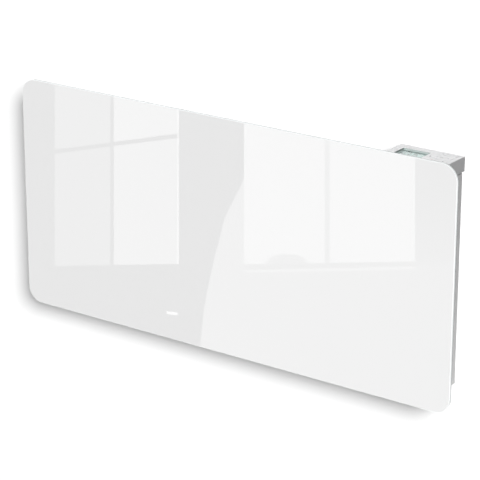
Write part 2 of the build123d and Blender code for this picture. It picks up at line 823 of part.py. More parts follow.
with BuildPart() as gland_body:
    with BuildSketch(Plane.XY.offset(gland_hex_z)):
        with Locations((gland_x, gland_y)):
            RegularPolygon(gland_hex_width / 2, 6, major_radius=False)
    extrude(amount=gland_hex_height)
    with BuildSketch(Plane.XY.offset(casing_bottom_z)):
        with Locations((gland_x, gland_y)):
            Circle(gland_thread_diameter / 2)
    extrude(amount=casing_sheet + gland_thread_reach)
    with BuildSketch(Plane.XY.offset(gland_neck_z)):
        with Locations((gland_x, gland_y)):
            Circle(gland_neck_diameter / 2)
    extrude(amount=gland_neck_height)
    with BuildSketch(Plane.XY.offset(gland_neck_z)):
        with Locations((gland_x, gland_y)):
            Circle(gland_bore / 2)
    extrude(amount=gland_hex_width + gland_neck_height, mode=Mode.SUBTRACT)
gland_body.part.label = "gland_body"
export_step(gland_body.part, "parts/gland_body.step")

with BuildPart() as gland_lock_nut:
    with BuildSketch(Plane.XY.offset(floor_inner_z)):
        with Locations((gland_x, gland_y)):
            RegularPolygon(gland_hex_width / 2, 6, major_radius=False)
            Circle(gland_thread_diameter / 2 + running_clearance, mode=Mode.SUBTRACT)
    extrude(amount=gland_nut_thickness)
gland_lock_nut.part.label = "gland_lock_nut"
export_step(gland_lock_nut.part, "parts/gland_lock_nut.step")

with BuildPart() as gland_cap:
    with BuildSketch(Plane.XY.offset(gland_cap_z)):
        with Locations((gland_x, gland_y)):
            Circle(gland_cap_diameter / 2)
    extrude(amount=gland_cap_height)
    fillet(gland_cap.edges().group_by(Axis.Z)[0], radius=gland_cap_wall)
    with BuildSketch(Plane.XY.offset(gland_neck_z)):
        with Locations((gland_x, gland_y)):
            Circle(gland_neck_diameter / 2 + running_clearance)
    extrude(amount=gland_neck_height, mode=Mode.SUBTRACT)
    with BuildSketch(Plane.XY.offset(gland_cap_z)):
        with Locations((gland_x, gland_y)):
            Circle(gland_bore / 2)
    extrude(amount=gland_cap_height, mode=Mode.SUBTRACT)
gland_cap.part.label = "gland_cap"
export_step(gland_cap.part, "parts/gland_cap.step")

# Terminal block on the casing's back, with a screw well over each way

with BuildPart() as terminal_block:
    with BuildSketch(facing(casing_inner_rear_y)):
        with Locations((terminal_block_x, terminal_block_z)):
            Rectangle(terminal_block_width, terminal_block_height)
    extrude(amount=terminal_block_depth)
    with BuildSketch(facing(terminal_block_front_y)):
        with Locations(*[(x, terminal_block_z) for x in terminal_way_x]):
            Circle(terminal_screw_diameter / 2 + running_clearance)
    extrude(amount=-terminal_screw_depth, mode=Mode.SUBTRACT)
terminal_block.part.label = "terminal_block"
export_step(terminal_block.part, "parts/terminal_block.step")

with BuildPart() as terminal_screws:
    with BuildSketch(facing(terminal_block_front_y + terminal_screw_depth)):
        with Locations(*[(x, terminal_block_z) for x in terminal_way_x]):
            Circle(terminal_screw_diameter / 2)
    extrude(amount=terminal_screw_depth - screw_slot_depth)
    with BuildSketch(facing(terminal_block_front_y + screw_slot_depth)):
        with Locations(*[(x, terminal_block_z) for x in terminal_way_x]):
            Rectangle(terminal_screw_diameter, screw_slot_width)
    extrude(amount=-screw_slot_depth, mode=Mode.SUBTRACT)
terminal_screws.part.label = "terminal_screws"
export_step(terminal_screws.part, "parts/terminal_screws.step")

# Earth stud through the casing's back, with its ring tag and nut

with BuildPart() as earth_stud:
    with BuildSketch(facing(casing_rear_y + screw_head_height)):
        with Locations((earth_x, earth_z)):
            Circle(screw_head_diameter / 2)
    extrude(amount=screw_head_height)
    with BuildSketch(facing(casing_rear_y)):
        with Locations((earth_x, earth_z)):
            Circle(screw_diameter / 2)
    extrude(amount=earth_stud_length)
earth_stud.part.label = "earth_stud"
export_step(earth_stud.part, "parts/earth_stud.step")

with BuildPart() as earth_tag:
    with BuildSketch(facing(casing_inner_rear_y)):
        with Locations((earth_x, earth_z)):
            Circle(earth_tag_diameter / 2)
        with Locations((earth_x - earth_tag_diameter / 2, earth_z)):
            Rectangle(earth_tag_diameter, wire_diameter)
        with Locations((earth_x, earth_z)):
            Circle(screw_diameter / 2 + running_clearance, mode=Mode.SUBTRACT)
    extrude(amount=earth_tag_thickness)
earth_tag.part.label = "earth_tag"
export_step(earth_tag.part, "parts/earth_tag.step")

earth_nut_body = make_nut(earth_nut_width, earth_nut_thickness, screw_diameter + 2 * running_clearance)

earth_nut_y = casing_inner_rear_y - earth_tag_thickness

with BuildPart() as earth_nut:
    with Locations(Plane(origin=(earth_x, earth_nut_y, earth_z), z_dir=(0, -1, 0))):
        add(earth_nut_body)
earth_nut.part.label = "earth_nut"
export_step(earth_nut.part, "parts/earth_nut.step")

# Control box gasket, the dark line between the box and the casing

with BuildPart() as control_gasket:
    with BuildSketch(Plane.XY.offset(casing_top_z)):
        with Locations((control_mid_x, (control_front_y + casing_rear_y) / 2)):
            Rectangle(control_width - 2 * gasket_inset, casing_depth - 2 * gasket_inset)
        with Locations((bundle_x, bundle_y)):
            Circle(grommet_flange_diameter / 2 + bolt_clearance, mode=Mode.SUBTRACT)
        with Locations(*cover_boss_places):
            Circle(fine_screw_diameter / 2 + bolt_clearance, mode=Mode.SUBTRACT)
    extrude(amount=gasket_thickness)
control_gasket.part.label = "control_gasket"
export_step(control_gasket.part, "parts/control_gasket.step")

# Control base: a floor with a low rim inside the cover and posts for the board

cover_inner_width = control_width - 2 * control_wall
cover_inner_depth = control_depth - 2 * control_wall

with BuildPart() as control_base:
    with BuildSketch(Plane.XY.offset(control_bottom_z)):
        with Locations((control_mid_x, control_mid_y)):
            Rectangle(cover_inner_width - 2 * base_fit, cover_inner_depth - 2 * base_fit)
    extrude(amount=base_plate + base_rim_height)
    with BuildSketch(Plane.XY.offset(base_top_z)):
        with Locations((control_mid_x, control_mid_y)):
            Rectangle(
                cover_inner_width - 2 * (base_fit + base_rim_wall),
                cover_inner_depth - 2 * (base_fit + base_rim_wall),
            )
    extrude(amount=base_rim_height, mode=Mode.SUBTRACT)
    with BuildSketch(Plane.XY.offset(base_top_z)):
        with Locations(*board_post_places):
            Circle(post_diameter / 2)
    extrude(amount=board_bottom_z - base_top_z)
    with BuildSketch(Plane.XY.offset(base_top_z)):
        with Locations(*cover_boss_places):
            Circle(post_diameter / 2 + base_fit)
    extrude(amount=base_rim_height, mode=Mode.SUBTRACT)
    with BuildSketch(Plane.XY.offset(control_bottom_z)):
        with Locations(*cover_boss_places):
            Circle(fine_screw_diameter / 2 + bolt_clearance)
        with Locations((bundle_x, bundle_y)):
            Circle(grommet_neck_diameter / 2)
    extrude(amount=base_plate, mode=Mode.SUBTRACT)
    with BuildSketch(Plane.XY.offset(board_bottom_z)):
        with Locations(*board_post_places):
            Circle(fine_screw_diameter / 2 + running_clearance)
    extrude(amount=-base_rim_height, mode=Mode.SUBTRACT)
control_base.part.label = "control_base"
export_step(control_base.part, "parts/control_base.step")

# Control cover: a cap with four walls, the display recess, the key openings and four screw bosses

cover_screw_reach = base_rim_height

with BuildPart() as control_cover:
    with BuildSketch(Plane.XY.offset(control_bottom_z)):
        with Locations((control_mid_x, control_mid_y)):
            Rectangle(control_width, control_depth)
    extrude(amount=control_height)
    fillet(control_cover.edges().filter_by(Axis.Z), radius=control_edge_radius)
    fillet(control_cover.edges().group_by(Axis.Z)[-1], radius=control_edge_radius / 2)
    with BuildSketch(Plane.XY.offset(control_bottom_z)):
        with Locations((control_mid_x, control_mid_y)):
            Rectangle(cover_inner_width, cover_inner_depth)
    extrude(amount=control_height - control_wall, mode=Mode.SUBTRACT)
    with BuildSketch(Plane.XY.offset(pad_bottom_z)):
        with Locations((display_mid_x, display_mid_y)):
            Rectangle(
                display_window_width + 2 * display_pad_wall,
                display_window_depth + 2 * display_pad_wall,
            )
    extrude(amount=cover_inner_top_z - pad_bottom_z)
    with BuildSketch(Plane.XY.offset(base_top_z)):
        with Locations(*cover_boss_places):
            Circle(post_diameter / 2)
    extrude(amount=cover_inner_top_z - base_top_z)
    with BuildSketch(Plane.XY.offset(control_top_z)):
        with Locations((display_mid_x, display_mid_y)):
            Rectangle(display_window_width, display_window_depth)
    extrude(amount=-display_recess - display_window_thickness, mode=Mode.SUBTRACT)
    with BuildSketch(Plane.XY.offset(control_top_z)):
        with Locations((display_mid_x, display_mid_y)):
            Rectangle(display_opening_width, display_opening_depth)
        with Locations((light_x, light_y)):
            Circle(light_diameter / 2)
        with Locations((key_grid_x, key_grid_y)):
            with GridLocations(key_pitch_x, key_pitch_y, key_columns, key_rows):
                RectangleRounded(
                    key_width + 2 * key_gap,
                    key_depth + 2 * key_gap,
                    key_corner_radius + key_gap,
                )
    extrude(amount=-board_top_drop, mode=Mode.SUBTRACT)
    with BuildSketch(Plane.XY.offset(base_top_z)):
        with Locations(*cover_boss_places):
            Circle(fine_screw_diameter / 2 + running_clearance)
    extrude(amount=cover_screw_reach, mode=Mode.SUBTRACT)
control_cover.part.label = "control_cover"
export_step(control_cover.part, "parts/control_cover.step")

cover_screw_grip = casing_sheet + gasket_thickness + base_plate
cover_screw = make_screw(
    fine_screw_diameter,
    cover_screw_grip + cover_screw_reach - cover_screw_spare,
    fine_screw_head_diameter,
    fine_screw_head_height,
)

with BuildPart() as control_screws:
    with Locations(*[Plane(origin=(x, y, roof_inner_z), z_dir=(0, 0, -1)) for x, y in cover_boss_places]):
        add(cover_screw)
control_screws.part.label = "control_screws"
export_step(control_screws.part, "parts/control_screws.step")

# Board and what is soldered to it

with BuildPart() as control_board:
    with BuildSketch(Plane.XY.offset(board_bottom_z)):
        with Locations((control_mid_x, control_mid_y)):
            Rectangle(cover_inner_width - 2 * board_edge_gap, cover_inner_depth - 2 * board_edge_gap)
        with Locations(*cover_boss_places):
            Circle(post_diameter / 2 + bolt_clearance, mode=Mode.SUBTRACT)
        with Locations(*board_post_places):
            Circle(fine_screw_diameter / 2 + bolt_clearance, mode=Mode.SUBTRACT)
    extrude(amount=board_thickness)
control_board.part.label = "control_board"
export_step(control_board.part, "parts/control_board.step")

board_screw = make_screw(
    fine_screw_diameter,
    base_rim_height,
    fine_screw_head_diameter,
    fine_screw_head_height,
)

with BuildPart() as board_screws:
    with Locations(*[Plane(origin=(x, y, board_top_z), z_dir=(0, 0, 1)) for x, y in board_post_places]):
        add(board_screw)
board_screws.part.label = "board_screws"
export_step(board_screws.part, "parts/board_screws.step")

with BuildPart() as relay:
    with BuildSketch(Plane.XY.offset(board_bottom_z - relay_height)):
        with Locations((control_left_x + relay_left_inset, control_mid_y)):
            Rectangle(relay_length, relay_width)
    extrude(amount=relay_height)
relay.part.label = "relay"
export_step(relay.part, "parts/relay.step")

with BuildPart() as wire_connector:
    with BuildSketch(Plane.XY.offset(connector_bottom_z)):
        with Locations((bundle_x, bundle_y)):
            Rectangle(connector_width, connector_depth)
    extrude(amount=connector_height)
wire_connector.part.label = "wire_connector"
export_step(wire_connector.part, "parts/wire_connector.step")

with BuildPart() as push_switches:
    with BuildSketch(Plane.XY.offset(board_top_z)):
        with Locations((key_grid_x, key_grid_y)):
            with GridLocations(key_pitch_x, key_pitch_y, key_columns, key_rows):
                Rectangle(switch_size, switch_size)
    extrude(amount=switch_height)
    with BuildSketch(Plane.XY.offset(board_top_z + switch_floor)):
        with Locations((key_grid_x, key_grid_y)):
            with GridLocations(key_pitch_x, key_pitch_y, key_columns, key_rows):
                Circle(key_stem_diameter / 2 + running_clearance)
    extrude(amount=switch_height, mode=Mode.SUBTRACT)
push_switches.part.label = "push_switches"
export_step(push_switches.part, "parts/push_switches.step")

# Display: a module on the board under a clear window at the foot of the recess

with BuildPart() as display_module:
    with BuildSketch(Plane.XY.offset(board_top_z)):
        with Locations((display_mid_x, display_mid_y)):
            Rectangle(
                display_opening_width - 2 * display_module_margin,
                display_opening_depth - 2 * display_module_margin,
            )
    extrude(amount=module_top_z - board_top_z)
display_module.part.label = "display_module"
export_step(display_module.part, "parts/display_module.step")

with BuildPart() as display_window:
    with BuildSketch(Plane.XY.offset(window_bottom_z)):
        with Locations((display_mid_x, display_mid_y)):
            Rectangle(
                display_window_width - 2 * display_window_gap,
                display_window_depth - 2 * display_window_gap,
            )
    extrude(amount=display_window_thickness)
display_window.part.label = "display_window"
export_step(display_window.part, "parts/display_window.step")

with BuildPart() as light_guide:
    with BuildSketch(Plane.XY.offset(board_top_z)):
        with Locations((light_x, light_y)):
            Circle(light_diameter / 2 - light_guide_gap)
    extrude(amount=control_top_z - board_top_z)
light_guide.part.label = "light_guide"
export_step(light_guide.part, "parts/light_guide.step")

# Keys: a cap, a lip that stops it under the cover, and a stem into its switch


def make_key(x, y):
    """Return one key at its place in the grid."""
    with BuildPart() as key:
        with BuildSketch(Plane.XY.offset(key_lip_bottom_z)):
            with Locations((x, y)):
                Rectangle(key_width + 2 * key_lip, key_depth)
        extrude(amount=key_lip_thickness)
        with BuildSketch(Plane.XY.offset(key_lip_bottom_z)):
            with Locations((x, y)):
                RectangleRounded(key_width, key_depth, key_corner_radius)
        extrude(amount=key_top_z - key_lip_bottom_z)
        fillet(key.edges().group_by(Axis.Z)[-1], radius=key_proud / 2)
        with BuildSketch(Plane.XY.offset(key_stem_bottom_z)):
            with Locations((x, y)):
                Circle(key_stem_diameter / 2)
        extrude(amount=key_lip_bottom_z - key_stem_bottom_z)
    return key.part


for row, row_names in enumerate(key_names):
    for column, key_name in enumerate(row_names):
        key_x = key_grid_x + (column - (key_columns - 1) / 2) * key_pitch_x
        key_y = key_grid_y - (row - (key_rows - 1) / 2) * key_pitch_y
        key_piece = make_key(key_x, key_y)
        key_piece.label = key_name
        export_step(key_piece, f"parts/{key_name}.step")

# Grommet where the wires pass from the casing into the box

with BuildPart() as wire_grommet:
    with BuildSketch(Plane.XY.offset(roof_inner_z - gasket_thickness)):
        with Locations((bundle_x, bundle_y)):
            Circle(grommet_flange_diameter / 2)
    extrude(amount=gasket_thickness)
    with BuildSketch(Plane.XY.offset(roof_inner_z)):
        with Locations((bundle_x, bundle_y)):
            Circle(grommet_neck_diameter / 2 - running_clearance)
    extrude(amount=casing_sheet)
    with BuildSketch(Plane.XY.offset(casing_top_z)):
        with Locations((bundle_x, bundle_y)):
            Circle(grommet_flange_diameter / 2)
    extrude(amount=gasket_thickness)
    with BuildSketch(Plane.XY.offset(roof_inner_z - gasket_thickness)):
        with Locations((bundle_x, bundle_y)):
            Circle(grommet_bore / 2)
    extrude(amount=control_height, mode=Mode.SUBTRACT)
wire_grommet.part.label = "wire_grommet"
export_step(wire_grommet.part, "parts/wire_grommet.step")

# Wires: one bundle falls from the connector through the grommet, and each wire leaves it for its place


def bundle_place(step):
    """Return the place in the bundle of one wire: 0 is the middle, and 1 to 6 are the ring around it."""
    if step == 0:
        return bundle_x, bundle_y
    turn = radians(60 * (step - 1))
    return bundle_x + bundle_pitch * cos(turn), bundle_y + bundle_pitch * sin(turn)


def drop(step, turn_z):
    """Return the first two points of a wire: its end at the connector and where it leaves the bundle."""
    x, y = bundle_place(step)
    return [(x, y, connector_bottom_z), (x, y, turn_z)]


live_turn_z = terminal_block_top_z + live_turn_rise
neutral_turn_z = terminal_block_top_z + neutral_turn_rise
live_pin_y = block_mid_y + cutout_blade_pitch / 2
link_pin_y = block_mid_y - cutout_blade_pitch / 2

supply_live = make_wire(
    drop(0, live_turn_z)
    + [
        (terminal_way_x[0], terminal_way_y, terminal_block_top_z + live_drop_rise),
        (terminal_way_x[0], terminal_way_y, terminal_block_top_z),
    ]
)
supply_neutral = make_wire(
    drop(2, neutral_turn_z)
    + [
        (terminal_way_x[1], terminal_way_y, terminal_block_top_z + neutral_drop_rise),
        (terminal_way_x[1], terminal_way_y, terminal_block_top_z),
    ]
)

with BuildPart() as supply_wires:
    add(supply_live)
    add(supply_neutral)
supply_wires.part.label = "supply_wires"
export_step(supply_wires.part, "parts/supply_wires.step")

earth_wire_y = casing_inner_rear_y - wire_diameter / 2 - base_fit
earth_lead = make_wire(
    [
        (terminal_way_x[2], terminal_way_y, terminal_block_bottom_z),
        (terminal_way_x[2], terminal_way_y, earth_z),
        (earth_x - earth_tag_diameter, earth_wire_y, earth_z),
    ]
)

with BuildPart() as earth_wire:
    add(earth_lead)
earth_wire.part.label = "earth_wire"
export_step(earth_wire.part, "parts/earth_wire.step")

element_live = make_wire(
    drop(4, cutout_blade_z + cutout_turn_rise)
    + [
        (cutout_blade_end_x + pin_approach, live_pin_y, cutout_blade_z),
        (cutout_blade_end_x, live_pin_y, cutout_blade_z),
    ]
)
element_link = make_wire(
    [
        (cutout_blade_end_x, link_pin_y, cutout_blade_z),
        (cutout_blade_end_x + pin_approach, link_pin_y, cutout_blade_z),
        (cutout_blade_end_x + pin_approach, block_mid_y, cutout_blade_z - link_fall),
        (pin_end_x + pin_approach + link_bow, block_mid_y - link_shift, element_upper_z + pin_turn_rise),
        (pin_end_x + pin_approach, block_mid_y, element_upper_z),
        (pin_end_x, block_mid_y, element_upper_z),
    ]
)
element_return = make_wire(
    drop(3, element_lower_z + pin_turn_rise)
    + [
        (pin_end_x + pin_approach, block_mid_y, element_lower_z),
        (pin_end_x, block_mid_y, element_lower_z),
    ]
)

with BuildPart() as element_wires:
    add(element_live)
    add(element_link)
    add(element_return)
element_wires.part.label = "element_wires"
export_step(element_wires.part, "parts/element_wires.step")

with BuildPart() as film_wires:
    for step, terminal_z in ((5, film_terminal_pitch), (6, 0)):
        add(
            make_wire(
                drop(step, terminal_z + film_turn_rise)
                + [
                    (film_terminal_x, film_terminal_rear_y + film_approach, terminal_z),
                    (film_terminal_x, film_terminal_rear_y, terminal_z),
                ]
            )
        )
film_wires.part.label = "film_wires"
export_step(film_wires.part, "parts/film_wires.step")

sensor_lead = make_wire(
    drop(1, sensor_top_z + sensor_turn_rise)
    + [
        (sensor_x, sensor_y, sensor_top_z + sensor_straight),
        (sensor_x, sensor_y, sensor_top_z),
    ]
)

with BuildPart() as sensor_wire:
    add(sensor_lead)
sensor_wire.part.label = "sensor_wire"
export_step(sensor_wire.part, "parts/sensor_wire.step")

# Wall bracket: two flanged uprights and a crossbar, with hooks below and latch arms above

bolt_places = [(x, z) for x in (-bolt_x, bolt_x) for z in (-bolt_spacing_z / 2, bolt_spacing_z / 2)]
flange_height = arm_bottom_z - hook_leg_top_z - 2 * bracket_sheet
upright_z = (arm_top_z + hook_leg_bottom_z) / 2

with BuildPart() as wall_bracket:
    with BuildSketch(facing(0)):
        with Locations((0, 0)):
            Rectangle(bolt_spacing_x, crossbar_height)
        with Locations((-bolt_x, upright_z), (bolt_x, upright_z)):
            Rectangle(upright_width, arm_top_z - hook_leg_bottom_z)
        with Locations(*bolt_places):
            Circle(bolt_hole_diameter / 2, mode=Mode.SUBTRACT)
    extrude(amount=bracket_sheet)
    with BuildSketch(facing(0)):
        flange_z = (arm_bottom_z + hook_leg_top_z) / 2
        flange_x = bolt_x + upright_width / 2 - bracket_sheet / 2
        with Locations((-flange_x, flange_z), (flange_x, flange_z)):
            Rectangle(bracket_sheet, flange_height)
    extrude(amount=upright_flange_depth)
    with BuildSketch(facing(0)):
        hook_leg_z = (hook_leg_top_z + hook_leg_bottom_z) / 2
        with Locations((-bolt_x, hook_leg_z), (bolt_x, hook_leg_z)):
            Rectangle(hook_width, bracket_sheet)
    extrude(amount=-hook_tab_front_y)
    with BuildSketch(facing(hook_tab_rear_y)):
        hook_tab_z = hook_leg_bottom_z + (bracket_sheet + hook_lift) / 2
        with Locations((-bolt_x, hook_tab_z), (bolt_x, hook_tab_z)):
            Rectangle(hook_width, bracket_sheet + hook_lift)
    extrude(amount=bracket_sheet)
    with BuildSketch(facing(0)):
        arm_z = (arm_top_z + arm_bottom_z) / 2
        with Locations((-bolt_x, arm_z), (bolt_x, arm_z)):
            Rectangle(upright_width, bracket_sheet)
    extrude(amount=-arm_front_y)
    with BuildSketch(Plane.XY.offset(arm_bottom_z)):
        with Locations((-bolt_x, latch_pivot_y), (bolt_x, latch_pivot_y)):
            Circle(rivet_diameter / 2 + running_clearance)
    extrude(amount=bracket_sheet, mode=Mode.SUBTRACT)
wall_bracket.part.label = "wall_bracket"
export_step(wall_bracket.part, "parts/wall_bracket.step")

# Latches: a tongue through the casing's back and a bent finger tab, turning on a rivet


def make_latch(side):
    """Return one latch at rest, locked. side is +1 on the right arm and -1 on the left."""
    handle_turn = latch_handle_angle if side > 0 else 180 - latch_handle_angle
    handle_x = latch_handle_length * cos(radians(handle_turn))
    handle_y = latch_handle_length * sin(radians(handle_turn))
    with BuildPart() as latch:
        with BuildSketch(Plane.XY.offset(latch_bottom_z)):
            with Locations((side * bolt_x, latch_pivot_y)):
                Circle(latch_hub_diameter / 2)
            with Locations((side * bolt_x, latch_pivot_y - (latch_reach - latch_width / 2) / 2)):
                Rectangle(latch_width, latch_reach - latch_width / 2)
            with Locations((side * bolt_x, latch_pivot_y - latch_reach + latch_width / 2)):
                Circle(latch_width / 2)
            with Locations((side * bolt_x + handle_x / 2, latch_pivot_y + handle_y / 2)):
                Rectangle(latch_handle_length, latch_width, rotation=handle_turn)
            with Locations((side * bolt_x, latch_pivot_y)):
                Circle(rivet_diameter / 2 + running_clearance, mode=Mode.SUBTRACT)
        extrude(amount=latch_thickness)
        tab_share = 1 - latch_tab_thickness / 2 / latch_handle_length
        with BuildSketch(Plane.XY.offset(latch_top_z)):
            with Locations((side * bolt_x + handle_x * tab_share, latch_pivot_y + handle_y * tab_share)):
                Rectangle(latch_tab_thickness, latch_width, rotation=handle_turn)
        extrude(amount=latch_tab_height)
    return latch.part


left_latch = make_latch(-1)
left_latch.label = "left_latch"
export_step(left_latch, "parts/left_latch.step")

right_latch = make_latch(1)
right_latch.label = "right_latch"
export_step(right_latch, "parts/right_latch.step")

with BuildPart() as latch_rivets:
    with BuildSketch(Plane.XY.offset(arm_bottom_z - rivet_head_height)):
        with Locations((-bolt_x, latch_pivot_y), (bolt_x, latch_pivot_y)):
            Circle(rivet_head_diameter / 2)
    extrude(amount=rivet_head_height)
    with BuildSketch(Plane.XY.offset(arm_bottom_z)):
        with Locations((-bolt_x, latch_pivot_y), (bolt_x, latch_pivot_y)):
            Circle(rivet_diameter / 2)
    extrude(amount=latch_top_z + latch_float - arm_bottom_z)
    with BuildSketch(Plane.XY.offset(latch_top_z + latch_float)):
        with Locations((-bolt_x, latch_pivot_y), (bolt_x, latch_pivot_y)):
            Circle(rivet_head_diameter / 2)
    extrude(amount=rivet_head_height)
latch_rivets.part.label = "latch_rivets"
export_step(latch_rivets.part, "parts/latch_rivets.step")
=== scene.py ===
# %% [markdown]
# # An electric inertia radiator with a glass front
#
# A white glass panel hangs on a wall in front of a shallow steel casing. Behind its top right
# corner a small control box looks up with a display and six keys. The solids come from the
# construction model and stay as they are. This lesson gives them their surfaces, prints the signs
# on the keys and the display, and sets up a plain studio around them.

import json
from math import cos, pi, radians, sin

import bmesh
import bpy
from mathutils import Euler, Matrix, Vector


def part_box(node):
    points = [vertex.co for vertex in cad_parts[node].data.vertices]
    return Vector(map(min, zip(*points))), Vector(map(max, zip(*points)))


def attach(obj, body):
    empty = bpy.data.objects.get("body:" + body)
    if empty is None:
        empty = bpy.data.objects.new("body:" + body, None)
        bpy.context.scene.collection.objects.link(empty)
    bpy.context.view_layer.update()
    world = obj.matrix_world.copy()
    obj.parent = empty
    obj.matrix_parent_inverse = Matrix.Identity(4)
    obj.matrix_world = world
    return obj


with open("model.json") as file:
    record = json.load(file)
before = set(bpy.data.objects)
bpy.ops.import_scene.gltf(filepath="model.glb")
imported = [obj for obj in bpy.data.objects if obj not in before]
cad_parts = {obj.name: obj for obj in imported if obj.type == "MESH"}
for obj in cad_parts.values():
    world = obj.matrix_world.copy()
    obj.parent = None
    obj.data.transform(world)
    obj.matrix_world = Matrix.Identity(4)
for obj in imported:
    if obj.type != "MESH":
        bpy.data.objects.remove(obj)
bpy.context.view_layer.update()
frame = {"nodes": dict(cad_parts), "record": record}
nodes = frame["nodes"]

# %% [markdown]
# ## Units and colours
#
# Blender works in metres and the drawing of a radiator in millimetres, so one value turns one into
# the other. Colours are read off a screen as sRGB hex codes, but the renderer adds light in linear
# values. Linear values could be typed in, but nobody can read them, so one function turns every code
# into the linear colour with the sRGB standard's own curve. A second one gives a darker neighbour,
# for surfaces whose colour drifts.

# %% Units and colours
MM = 0.001


def linear(hex_code):
    """Return the linear RGBA colour of an sRGB hex code such as #E8E8E8."""
    channels = [int(hex_code[i : i + 2], 16) / 255 for i in (1, 3, 5)]
    return (*[c / 12.92 if c <= 0.04045 else ((c + 0.055) / 1.055) ** 2.4 for c in channels], 1.0)


def darker(hex_code, share):
    """Return the linear colour of a hex code, darkened by a share."""
    return (*[c * (1 - share) for c in linear(hex_code)[:3]], 1.0)


print("linear value of #E8E8E8:", round(linear("#E8E8E8")[0], 3))

# %% [markdown]
# ## One helper for shader nodes
#
# A material is a small graph. Building one by hand means adding a node, setting its properties,
# setting its inputs and linking it. This function does those steps for any node: an input that is
# given a socket is linked, and any other value is written on the input itself.

# %% A helper that adds a node
def add_node(tree, kind, inputs=None, **settings):
    """Add one node to the tree, with its settings, its input values and its links."""
    node = tree.nodes.new(kind)
    for name, value in settings.items():
        setattr(node, name, value)
    for name, value in (inputs or {}).items():
        if isinstance(value, bpy.types.NodeSocket):
            tree.links.new(value, node.inputs[name])
        else:
            node.inputs[name].default_value = value
    return node


def new_material(name):
    """Return an empty material, its node tree and the place of its points in metres."""
    material = bpy.data.materials.new(name)
    material.use_nodes = True
    tree = material.node_tree
    tree.nodes.clear()
    place = add_node(tree, "ShaderNodeTexCoord").outputs["Object"]
    return material, tree, place


def finish_surface(tree, shader):
    """Send a shader to the material's output."""
    add_node(tree, "ShaderNodeOutputMaterial", {"Surface": shader.outputs[0]})


print("helpers for materials are ready")

# %% [markdown]
# ## White enamelled glass
#
# The panel is tempered float glass with white enamel fired onto its back. Float glass is optically
# flat, so the front is a sharp mirror, and with IOR 1.52 it sends back about 4% of the light. The
# enamel shows through as a white that drifts by a percent over some centimetres. The rim is ground
# and polished and has no enamel: light that travels inside the sheet leaves there, most of it at the
# sides and below. A thin grey line along the rim's rear is painted shade for the rear of the rim,
# which lies in shadow. It is painted fainter along the top, as if light fell on it from above.
#
# Clear glass over a white layer could be made with a see-through shader, which is slow and noisy. A
# white base under a mirror coat looks the same, so one opaque shader does it all. The first function
# finds the rim: only the two faces look along Y.

# %% The rim of the glass and its line of painted shade
FACE_SLOPE = 0.95
# The width of the rear strip of the rim where shade is painted.
RIM_SHADE_WIDTH = 2.0 * MM
glass_front_y, glass_rear_y = [corner.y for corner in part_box("glass_front_panel")]


def rim_and_shade_strip(tree, place, directions):
    """Return a value that is 1 on the rim, and one that is 1 on the rear strip of the rim, where shade is
    painted.
    """
    along_y = add_node(tree, "ShaderNodeMath", {0: directions.outputs["Y"]}, operation="ABSOLUTE")
    rim = add_node(
        tree,
        "ShaderNodeMath",
        {0: along_y.outputs[0], 1: FACE_SLOPE},
        operation="LESS_THAN",
    )
    depth = add_node(tree, "ShaderNodeSeparateXYZ", {0: place}).outputs["Y"]
    at_rear = add_node(
        tree,
        "ShaderNodeMath",
        {0: depth, 1: glass_rear_y - RIM_SHADE_WIDTH},
        operation="GREATER_THAN",
    )
    shaded_rear_strip = add_node(
        tree,
        "ShaderNodeMath",
        {0: rim.outputs[0], 1: at_rear.outputs[0]},
        operation="MULTIPLY",
    )
    return rim.outputs[0], shaded_rear_strip.outputs[0]


print("glass sheet", round((glass_rear_y - glass_front_y) / MM, 2), "mm thick")

# %% [markdown]
# ## The colour of the glass
#
# The faces show the fired enamel, the rim shows clear glass, and a grey line of painted shade covers the
# rear strip of the rim. It is mixed in last and painted weaker as the rim turns upward, toward the light.

# %% The colour of the glass
ENAMEL_WHITE = "#E8E8E8"
ENAMEL_PATCH = 120 * MM
ENAMEL_DRIFT = 0.01
RIM_WHITE = "#DFE2E2"
# The grey of the shade painted along the rim's rear, and the share of it left along the top, which is lit
# from above.
RIM_SHADE_GREY = "#86888A"
RIM_SHADE_SHARE_TOP = 0.3


def glass_colour(tree, place, directions, rim, shaded_rear_strip):
    """Return the colour of the enamelled faces, the clear rim and the grey line of painted shade."""
    patches = add_node(tree, "ShaderNodeTexNoise", {"Vector": place, "Scale": 1 / ENAMEL_PATCH})
    thin_enamel = darker(ENAMEL_WHITE, ENAMEL_DRIFT)
    enamel = add_node(
        tree,
        "ShaderNodeMix",
        {0: patches.outputs[0], 6: thin_enamel, 7: linear(ENAMEL_WHITE)},
        data_type="RGBA",
    )
    with_rim = add_node(
        tree,
        "ShaderNodeMix",
        {0: rim, 6: enamel.outputs[2], 7: linear(RIM_WHITE)},
        data_type="RGBA",
    )
    # The painted shade is full at the sides and below, and weaker on top, where light falls from above.
    rim_shade_share = add_node(
        tree,
        "ShaderNodeMapRange",
        {"Value": directions.outputs["Z"], "To Min": 1.0, "To Max": RIM_SHADE_SHARE_TOP},
    )
    line = add_node(
        tree,
        "ShaderNodeMath",
        {0: shaded_rear_strip, 1: rim_shade_share.outputs[0]},
        operation="MULTIPLY",
    )
    with_rim_shade = add_node(
        tree,
        "ShaderNodeMix",
        {0: line.outputs[0], 6: with_rim.outputs[2], 7: linear(RIM_SHADE_GREY)},
        data_type="RGBA",
    )
    return with_rim_shade.outputs[2]


print("the enamel drifts by", ENAMEL_DRIFT, "over", round(ENAMEL_PATCH / MM), "mm")

# %% [markdown]
# ## The light at the rim
#
# Tracing the light inside the sheet would take many bounces. A weak glow of the clear part of the
# rim gives the same look: strong at the sides and below, and faint along the top.

# %% The light at the rim
GLASS_IOR = 1.52
GLASS_ROUGHNESS = 0.005
RIM_GLOW_TOP = 0.08
RIM_GLOW_SIDES = 0.7


